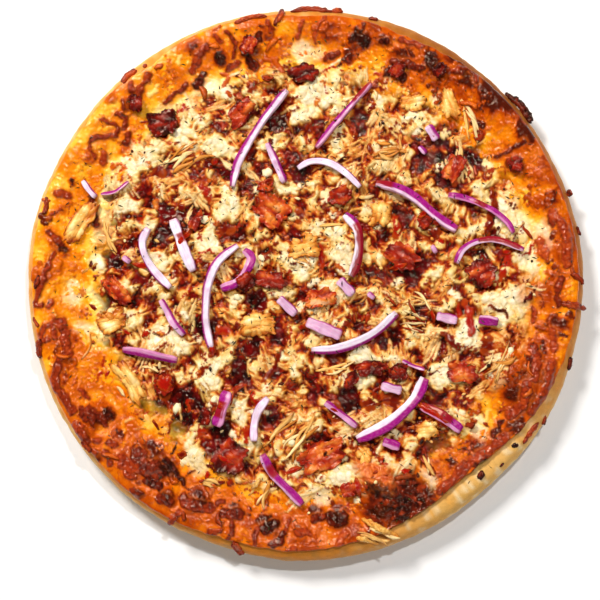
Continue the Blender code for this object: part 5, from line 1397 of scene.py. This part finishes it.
def add_strand(heap, x, y, heading, length, width, depth, bend, tone, edge_tone, draw, sink, torn, taper):
    """Lays one strand on the cheese, and raises the canvas by it, where no onion, bacon or flake lies."""
    line_x, line_y, along, t, step = strand_line(x, y, heading, length, bend, draw, strand_step)
    columns = np.clip(((line_x + canvas_reach) / canvas_step).round().astype(int), 0, len(canvas_line) - 1)
    rows = np.clip(((line_y + canvas_reach) / canvas_step).round().astype(int), 0, len(canvas_line) - 1)
    if blocked[rows, columns].any():
        return
    z = supported(line_x, line_y, along, 0.35 * width, 0.35, step) + depth * (0.5 - sink)
    stations = len(line_x)
    numbers = np.random.default_rng(draw.randrange(1 << 30))
    sides = strand_sides
    angles = 2.0 * math.pi * np.arange(sides) / sides
    swing = 1.0 + torn * (numbers.standard_normal((1, sides)) * 0.6 + numbers.standard_normal((stations, sides)) * 0.45)
    narrow = 1.0 - taper * (2.0 * np.abs(t)) ** 2.5
    narrow *= 1.0 + 0.18 * np.sin(draw.uniform(5, 11) * t + draw.uniform(0, 6))
    narrow[0] *= 0.75
    narrow[-1] *= 0.75
    across = 0.5 * width * narrow[:, None] * np.cos(angles)[None, :] * swing
    up = 0.5 * depth * (0.4 + 0.6 * narrow[:, None]) * np.sin(angles)[None, :] * swing
    roll = draw.uniform(-0.5, 0.5) + draw.uniform(-1.2, 1.2) * t
    places = sweep(across, up, line_x, line_y, z, along, roll)
    # The sides are painted towards the edge tone, partly as browning and partly as painted shade; the ends are browned
    edges = np.abs(np.cos(angles))[None, :] ** 2 * 0.55 + 0.5 * (2.0 * np.abs(t))[:, None] ** 3
    edges = np.clip(edges + 0.35 * numbers.standard_normal((stations, sides)) * 0.6 - 0.12, 0.0, 1.0)
    # Painted shade: the lower half of the strand is painted in its edge tone, as shade beneath it
    edges = np.clip(edges + 0.5 * ease(0.0, -0.9, np.sin(angles))[None, :], 0.0, 1.0)
    tones = mix(np.broadcast_to(tone, edges.shape + (3,)), edge_tone, edges)
    run = np.broadcast_to(((t + 0.5) * length * 0.25)[:, None], across.shape)
    lay = np.stack([run + x * 3.0, across + y * 3.0, up], axis=2)
    heap.add(places.reshape(-1, 3), tube_faces(stations, sides, heap.count), tones.reshape(-1, 3), lay.reshape(-1, 3))
    raise_ground(line_x, line_y, z + 0.40 * depth, 0.42 * width)


# Bundles that stand out: place, heading and spread in degrees, strands, length and breadth of the bundle
standing_bundles = [
    ((0.083, 0.090), 285.0, 8.0, 5, 0.036, 0.007), ((0.090, 0.086), 292.0, 8.0, 3, 0.028, 0.004),
    ((0.060, -0.016), 330.0, 16.0, 12, 0.017, 0.018), ((0.102, -0.043), 240.0, 10.0, 5, 0.024, 0.008),
    ((-0.010, -0.082), 52.0, 9.0, 8, 0.026, 0.016), ((-0.066, 0.070), 25.0, 10.0, 8, 0.024, 0.012),
    ((-0.109, 0.028), 285.0, 6.0, 2, 0.028, 0.003), ((-0.117, -0.032), 250.0, 8.0, 2, 0.024, 0.003),
    ((0.018, -0.048), 190.0, 10.0, 6, 0.020, 0.009), ((0.028, -0.020), 85.0, 18.0, 5, 0.010, 0.009),
    ((-0.098, -0.056), 300.0, 10.0, 5, 0.018, 0.008), ((0.046, 0.073), 10.0, 14.0, 6, 0.018, 0.010),
    ((-0.025, -0.112), 70.0, 14.0, 5, 0.014, 0.010), ((0.040, -0.136), 160.0, 8.0, 4, 0.020, 0.005),
    ((0.000, -0.012), 80.0, 10.0, 5, 0.014, 0.007), ((-0.044, -0.062), 60.0, 12.0, 4, 0.016, 0.007),
]
bundle_count = 16


def add_bundle(heap, x, y, heading, spread, strands, length, breadth, draw):
    """A bundle: strands side by side, each a little turned and shifted."""
    tone, edge_tone = pick_tone(draw, x, y)
    for _ in range(strands):
        offset = draw.uniform(-0.5, 0.5) * breadth
        slide = draw.uniform(-0.22, 0.22) * length
        turn = math.radians(heading + draw.gauss(0.0, spread))
        lie = math.radians(heading)
        at_x = x - offset * math.sin(lie) + slide * math.cos(lie)
        at_y = y + offset * math.cos(lie) + slide * math.sin(lie)
        if draw.random() < 0.3:
            tone, edge_tone = pick_tone(draw, x, y)
        shade = draw.uniform(0.80, 1.06)
        add_strand(heap, at_x, at_y, turn, length * draw.uniform(0.4, 1.0), draw.uniform(0.0011, 0.0024),
                   draw.uniform(0.0008, 0.0014), draw.uniform(-1.1, 1.1), tone * shade, edge_tone, draw, sink=0.48,
                   torn=0.34, taper=0.42)


draw = random.Random(7)
pulled = Heap()
for place, heading, spread, strands, length, breadth in standing_bundles:
    add_bundle(pulled, *place, heading, spread, strands, length, breadth, draw)
for _ in range(bundle_count):
    x, y, share = random_place(draw, 0.80)
    if float(sample(pooled_cream, x, y)) > 0.5 and draw.random() < 0.85:
        continue
    add_bundle(pulled, x, y, draw.uniform(0.0, 180.0), 12.0, draw.randint(2, 5), draw.uniform(0.007, 0.014),
               draw.uniform(0.003, 0.006), draw)
dress(pulled.build("pulled_chicken"), meat_look, "roast_chicken")

# Crisp cheese: shreds of cheddar that stayed on top and fried in their own fat, orange to dark brown, most of
# them on the rim. A few stand or hang past the edge of the crust.
# Points as direction in degrees and share of the radius, width, and how dark
rim_ridges = [
    ([(82.5, 1.005), (85, 1.0)], 0.0040, 0.40), ([(84.5, 0.998), (89, 1.003), (93.5, 0.998)], 0.0032, 0.62),
    ([(95.0, 1.008), (96, 0.975), (97.2, 0.945)], 0.0034, 0.30),
    ([(98.5, 0.985), (102, 0.992), (105.5, 0.984)], 0.0034, 0.32),
    ([(126, 0.994), (127, 0.990)], 0.0034, 0.40), ([(128.4, 0.998), (130.5, 1.003), (132.4, 0.990)], 0.0036, 0.32),
    ([(161.4, 1.0), (163, 0.985), (165, 0.985)], 0.0030, 0.50), ([(186.8, 1.0), (189, 0.982)], 0.0020, 0.45),
    ([(191.6, 0.982), (193, 1.0), (195.4, 1.006)], 0.0036, 0.45),
    ([(240.0, 1.0), (240.6, 0.975), (241, 0.955)], 0.0036, 0.35),
    ([(254, 0.962), (255.4, 0.985), (256.8, 1.0)], 0.0034, 0.30),
    ([(283, 0.865), (286, 0.905), (290, 0.975)], 0.0046, 0.10),
    ([(281, 0.925), (283.4, 0.945), (285.4, 0.968)], 0.0034, 0.10), ([(341.6, 0.990), (344.4, 0.982)], 0.0034, 0.70),
    ([(354.8, 1.008), (355, 0.96), (355.4, 0.915)], 0.0040, 0.30), ([(18.4, 1.006), (19.8, 0.998)], 0.0034, 0.75),
    ([(35.6, 0.998), (39.5, 1.006), (44.0, 1.0)], 0.0046, 1.0), ([(10, 1.002), (12, 0.996)], 0.0024, 0.55),
    ([(215, 0.992), (218, 0.985)], 0.0030, 0.45), ([(178, 0.970), (181, 0.985)], 0.0030, 0.50),
    ([(75, 1.0), (77, 0.996)], 0.0024, 0.45), ([(329, 0.985), (331, 0.978)], 0.0026, 0.65),
    ([(321.4, 0.946), (322.6, 0.940)], 0.0030, 1.0), ([(311.2, 0.930), (313.2, 0.920)], 0.0036, 1.0),
    ([(323.4, 0.966), (326, 0.962), (329, 0.968)], 0.0032, 0.24), ([(316.4, 0.952), (317.6, 0.956)], 0.0018, 0.9),
]
crisp_count = 24
draw = random.Random(19)
crisps = Heap()
dough_level = np.where(canvas_share < 1.0, crust_top(np.minimum(canvas_share, 1.0)), 0.0138)
outside_cheese = canvas_share > np.interp(canvas_degrees, edge_degrees, edge_table)
ground[outside_cheese] = dough_level[outside_cheese]
for number, (points, width, darkness) in enumerate(rim_ridges):
    whole = rim_line(points, 0.0007)
    for ply in range(3):
        first, last = draw.randint(0, len(whole[3]) // 4), len(whole[3]) - draw.randint(0, len(whole[3]) // 4)
        if ply == 0:
            first, last = 0, len(whole[3])
        if last - first < 4:
            continue
        line_x, line_y, along, run = (values[first:last] for values in whole)
        aside = 0.0 if ply == 0 else draw.uniform(-0.42, 0.42) * width
        bed_x, bed_y = line_x - aside * along[:, 1], line_y + aside * along[:, 0]
        breadth = width * (0.72 if ply == 0 else draw.uniform(0.40, 0.62))
        t = np.linspace(-1.0, 1.0, len(run))
        angles = 2.0 * math.pi * np.arange(10) / 10
        around_x = 0.0014 * np.cos(angles)[None, :] + 0.013 * number + 0.004 * ply
        around_y = 0.0014 * np.sin(angles)[None, :]
        lumps = 1.0 + 0.50 * grain(run[:, None] + around_y, around_x, 0.0019, 19)
        lumps *= 1.0 + 0.34 * grain(run[:, None] - around_y, around_x, 0.0009, 20)
        ends = np.sqrt(np.clip(1.0 - np.abs(t) ** 6, 0.06, 1.0))[:, None]
        across = 0.5 * breadth * ends * np.cos(angles)[None, :] * lumps
        up = 0.42 * breadth * ends * np.sin(angles)[None, :] * lumps
        z = supported(bed_x, bed_y, along, 0.3 * breadth, 0.9, 0.0007) + 0.12 * breadth + 0.0003 * ply
        places = sweep(across, up, bed_x, bed_y, z, along, np.zeros(len(bed_x)))
        # Painted light and shade: each shred is painted lighter where it swells and darker where it narrows
        value = 0.74 - 0.70 * darkness + 0.34 * (lumps - 1.0) + 0.16 * draw.uniform(-1.0, 1.0)
        value = np.clip(value - 0.25 * np.abs(t)[:, None] ** 3, 0.0, 1.0)
        tones = ramp(value, ridge_ramp) if darkness > 0.2 else ramp(0.28 + 0.40 * value, food_ramp)
        lay = np.stack([np.broadcast_to(run[:, None], across.shape), across, up], axis=2)
        crisps.add(places.reshape(-1, 3), tube_faces(len(bed_x), 10, crisps.count), tones.reshape(-1, 3),
                   lay.reshape(-1, 3))
for _ in range(crisp_count):
    x, y, turn_degrees = rim_place(draw, 0.010, 1.6)
    bias = float(sample(browning_bias, x, y))
    if draw.random() > 0.45 + 2.0 * bias:
        continue
    darkness = min(1.0, max(0.0, draw.gauss(0.40 + bias, 0.28)))
    tone = crisp_orange * (1.0 - darkness) + crisp_brown * darkness
    edge_tone = crisp_dark if darkness > 0.6 else crisp_brown
    heading = math.radians(turn_degrees + 90.0) + draw.gauss(0.0, 0.8)
    add_strand(crisps, x, y, heading, draw.uniform(0.004, 0.011), draw.uniform(0.0018, 0.0034),
               draw.uniform(0.0012, 0.0020), draw.gauss(0.0, 1.8), tone, edge_tone, draw, sink=0.5, torn=0.34,
               taper=0.2)
crisp_look = food_material("Crisp cheese", 1100.0, 3000.0, 0.30, 0.20, 0.25, 0.4)
dress(crisps.build("crisp_cheese"), crisp_look, "melted_cheese")

# Crumbs and curds: small lumps of mozzarella, browned crumbs and burnt bits that fill the gaps between strands.
def ball_form(subdivisions):
    """The places and the faces of a plain ball."""
    bpy.ops.mesh.primitive_ico_sphere_add(subdivisions=subdivisions, radius=1.0)
    ball = bpy.context.object
    places, faces = read_places(ball), [tuple(face.vertices) for face in ball.data.polygons]
    bpy.data.objects.remove(ball)
    return places, faces


curd_form = ball_form(2)
crumb_form = ball_form(1)
lump_roughness = 0.5


def add_lump(heap, form, x, y, sizes, turn, tone, edge_tone, seed, sink):
    """A lump of food: a ball stretched, roughened and sunk into what it lies on."""
    if blocked[cell_of(y), cell_of(x)]:
        return
    form_places, form_faces = form
    offset = grain(form_places[:, 0] + 3.1 * seed, form_places[:, 1] + 1.7 * form_places[:, 2], 0.9, seed)
    shaped = form_places * (1.0 + lump_roughness * offset)[:, None] * np.array(sizes)
    turned_x = shaped[:, 0] * math.cos(turn) - shaped[:, 1] * math.sin(turn)
    turned_y = shaped[:, 0] * math.sin(turn) + shaped[:, 1] * math.cos(turn)
    base = float(sample(ground, x, y))
    z = base + sizes[2] * (1.0 - 2.0 * sink) + shaped[:, 2]
    # Painted shade: the lower side of each lump is painted in its edge tone
    low = ease(0.4, -0.5, form_places[:, 2] + 0.35 * offset)
    tones = mix(np.broadcast_to(tone, (len(z), 3)), edge_tone, low)
    heap.add_form(np.stack([x + turned_x, y + turned_y, z], axis=1), form_faces, tones)
    raise_ground(x, y, base + sizes[2] * 1.6 * (1.0 - sink), min(sizes[0], sizes[1]) * 0.8)


draw = random.Random(23)
curds = Heap()
curd_count = 30
for index in range(curd_count):
    x, y, share = random_place(draw, 0.80)
    if float(sample(cream, x, y)) < 0.25 and draw.random() < 0.6:
        continue
    size = draw.uniform(0.0014, 0.0034)
    add_lump(curds, curd_form, x, y, (size * draw.uniform(1.0, 1.7), size, size * 0.55), draw.uniform(0.0, math.pi),
             srgb(252, 236, 190) * draw.uniform(0.85, 1.0), srgb(226, 172, 84), index, 0.5)
curd_look = food_material("Mozzarella curd", 500.0, 2200.0, 0.10, 0.24, 0.20, 0.25, soft=0.15)
dress(curds.build("mozzarella_curds"), curd_look, "melted_cheese")

crumbs = Heap()
crumb_count = 240
crumb_tones = [(golden_meat, brown_meat), (straw_meat, golden_meat), (brown_meat, dark_meat), (dark_meat, burnt_cheese),
               (burnt_cheese, burnt_cheese), (crisp_brown, crisp_dark), (pale_meat, golden_meat)]
for index in range(crumb_count):
    x, y, share = random_place(draw, 0.83)
    tone, edge_tone = draw.choice(crumb_tones)
    size = draw.uniform(0.00035, 0.00110)
    if float(sample(cream, x, y)) > 0.5 and draw.random() < 0.6:
        continue
    add_lump(crumbs, crumb_form, x, y, (size * draw.uniform(1.0, 2.0), size, size * 0.8), draw.uniform(0.0, math.pi),
             tone, edge_tone, index, 0.3)
crumb_look = food_material("Browned crumbs", 1200.0, 3000.0, 0.30, 0.30, 0.25, 0.4)
dress(crumbs.build("browned_crumbs"), crumb_look, "roast_chicken")

# Barbecue sauce: thick, dark and shiny, in drops, streaks and glazed patches that ran over the toppings. It is
# red where thin and almost black where it pooled.
drop_count = 60
draw = random.Random(31)
sauces = Heap()
pool_form = ball_form(4)


def pour(heap, form, x, y, long_half, short_half, turn, depth, tone, seed):
    """A pool of sauce: a flat dome that follows what it lies on, with a ragged edge."""
    form_places, form_faces = form
    turned = np.arctan2(form_places[:, 1], form_places[:, 0])
    ragged = 1.0 + 0.45 * grain(np.cos(turned) * 2.0, np.sin(turned) * 2.0, 0.8, seed)
    along, across = form_places[:, 0] * long_half * ragged, form_places[:, 1] * short_half * ragged
    at_x = x + along * math.cos(turn) - across * math.sin(turn)
    at_y = y + along * math.sin(turn) + across * math.cos(turn)
    low, fine = sample(smooth_ground, at_x, at_y), sample(ground, at_x, at_y)
    bed = 0.55 * low + 0.45 * fine
    z = bed + depth * form_places[:, 2] + 0.15 * depth
    thin = 0.8 * ease(0.55, 1.0, np.hypot(form_places[:, 0], form_places[:, 1]))
    heap.add_form(np.stack([at_x, at_y, z], axis=1), form_faces,
                  mix(np.broadcast_to(tone, (len(z), 3)), thin_sauce, thin))


def blurred(layer, times):
    """A canvas layer with its fine relief smoothed away."""
    for _ in range(times):
        layer = 0.25 * (np.roll(layer, 2, 0) + np.roll(layer, -2, 0) + np.roll(layer, 2, 1) + np.roll(layer, -2, 1))
    return layer


smooth_ground = blurred(ground, 4)
for index, (x, y, half_width, half_length, heading) in enumerate(sauce_streaks):
    if not blocked[cell_of(y), cell_of(x)]:
        continue
    tone = bright_sauce if index % 3 else thick_sauce
    pour(sauces, pool_form, x, y, 0.8 * half_length, 0.8 * half_width, math.radians(heading + 90.0), 0.0008, tone,
         800 + index)
for index in range(drop_count):
    x, y, share = random_place(draw, 0.80)
    if float(sample(cream, x, y)) > 0.5 and draw.random() < 0.7:
        continue
    size = draw.uniform(0.0007, 0.0021)
    tone = draw.choice([thick_sauce, bright_sauce, black_sauce])
    pour(sauces, curd_form, x, y, size * draw.uniform(1.0, 3.2), size, draw.uniform(0.0, math.pi),
         draw.uniform(0.0004, 0.0008), tone, 1000 + index)
sauce_look = food_material("Barbecue sauce", 600.0, 2200.0, 0.30, 0.10, 0.10, 0.25, coat=0.0)
dress(sauces.build("barbecue_sauce"), sauce_look, "melted_cheese")

# Dried herbs: flakes of dark green leaf, black pepper and oregano scattered over everything, most of them about
# the middle.
herbs = Heap()
herb_count = 3400
leaf_form = np.array([(-1.0, 0.0, 0.1), (-0.2, 0.45, -0.1), (1.0, 0.1, 0.25), (0.1, -0.5, -0.05), (0.0, 0.0, 0.3),
                      (0.0, 0.0, -0.25)])
leaf_faces = [(0, 4, 1), (1, 4, 2), (2, 4, 3), (3, 4, 0), (1, 5, 0), (2, 5, 1), (3, 5, 2), (0, 5, 3)]
herb_tones = [srgb(44, 50, 18), srgb(26, 26, 12), srgb(76, 78, 28), srgb(16, 12, 6), srgb(52, 34, 12)]
draw = random.Random(41)
for index in range(herb_count):
    x, y, share = random_place(draw, 0.96)
    density = 0.35 + 0.65 * float(ease(0.70, 0.30, math.hypot(x - 0.010, y - 0.020) / radius))
    if share > 0.80:
        density = 0.26
    if draw.random() > density:
        continue
    size = draw.uniform(0.00045, 0.00115)
    turn = draw.uniform(0.0, 2.0 * math.pi)
    shaped = leaf_form * np.array([size * draw.uniform(0.9, 1.9), size * draw.uniform(0.45, 0.9), size * 0.5])
    at_x = x + shaped[:, 0] * math.cos(turn) - shaped[:, 1] * math.sin(turn)
    at_y = y + shaped[:, 0] * math.sin(turn) + shaped[:, 1] * math.cos(turn)
    z = float(sample(ground, x, y)) + 0.00015 + shaped[:, 2]
    tone = draw.choice(herb_tones)
    herbs.add_form(np.stack([at_x, at_y, z], axis=1), leaf_faces, np.broadcast_to(tone, (len(z), 3)))
herb_look = food_material("Dried herbs", 900.0, 3000.0, 0.3, 0.65, 0.1, 0.3)
dress(herbs.build("dried_herbs"), herb_look, "melted_cheese")

# The floor is a plain pale sheet, lit by a broad soft lamp from the far left, a smaller one that draws the
# highlights on the fat, and a pale sky.
bpy.ops.object.select_all(action="DESELECT")
bpy.ops.mesh.primitive_plane_add(size=4.0, location=(0.0, 0.0, -0.0002))
floor = bpy.context.object
floor.name = "floor"
floor_look = bpy.data.materials.new("Pale floor")
floor_look.use_nodes = True
floor_surface = floor_look.node_tree.nodes["Principled BSDF"]
floor_surface.inputs["Base Color"].default_value = (0.90, 0.90, 0.90, 1.0)
floor_surface.inputs["Roughness"].default_value = 0.9
floor.data.materials.append(floor_look)

world = bpy.data.worlds.new("pale_sky")
bpy.context.scene.world = world
world.use_nodes = True
sky = world.node_tree.nodes["Background"]
sky.inputs["Color"].default_value = (1.0, 0.98, 0.95, 1.0)
sky.inputs["Strength"].default_value = 0.10


def add_lamp(name, place, size, power, tint):
    """A square lamp at this place that faces the middle of the floor."""
    lamp_data = bpy.data.lights.new(name, "AREA")
    lamp_data.size = size
    lamp_data.energy = power
    lamp_data.color = tint
    lamp = bpy.data.objects.new(name, lamp_data)
    lamp.location = place
    lamp.rotation_euler = (-Vector(place)).to_track_quat("-Z", "Y").to_euler()
    bpy.context.scene.collection.objects.link(lamp)


add_lamp("broad_lamp", (-0.90, 1.30, 1.70), 0.50, 54.0, (1.0, 0.97, 0.93))
add_lamp("sparkle_lamp", (0.45, 0.75, 1.90), 0.09, 17.0, (1.0, 1.0, 1.0))
add_lamp("front_lamp", (0.50, -1.60, 1.40), 1.20, 11.0, (1.0, 0.99, 0.97))

# The camera looks almost straight down, a little from the front right, so that the pale side of the dough shows
# at the lower right. It is framed so that the pizza's outline has the size and place it has in the picture.
view_width = 600.0
crust_width_in_picture = 554.0
crust_middle_in_picture = (307.0, 284.0)
rim_height = 0.018
metres_per_pixel = 2.0 * radius / crust_width_in_picture
look_at = Vector(((view_width / 2.0 - crust_middle_in_picture[0]) * metres_per_pixel,
                  (crust_middle_in_picture[1] - view_width / 2.0) * metres_per_pixel, rim_height))
sensor_width = 36.0
camera_distance = 1.10
camera_data = bpy.data.cameras.new("camera")
camera_data.sensor_width = sensor_width
camera_data.lens = sensor_width * camera_distance / (view_width * metres_per_pixel)
camera = bpy.data.objects.new("camera", camera_data)
bpy.context.scene.collection.objects.link(camera)
tilt = math.radians(4.0)
toward = math.radians(-50.0)
offset = Vector((math.sin(tilt) * math.cos(toward), math.sin(tilt) * math.sin(toward), math.cos(tilt)))
camera.location = look_at + offset * camera_distance
back = offset.normalized()
right = Vector((0.0, 1.0, 0.0)).cross(back).normalized()
up = back.cross(right)
camera.rotation_euler = Matrix((right, up, back)).transposed().to_euler()
bpy.context.scene.camera = camera
bpy.context.scene.view_settings.view_transform = "Standard"
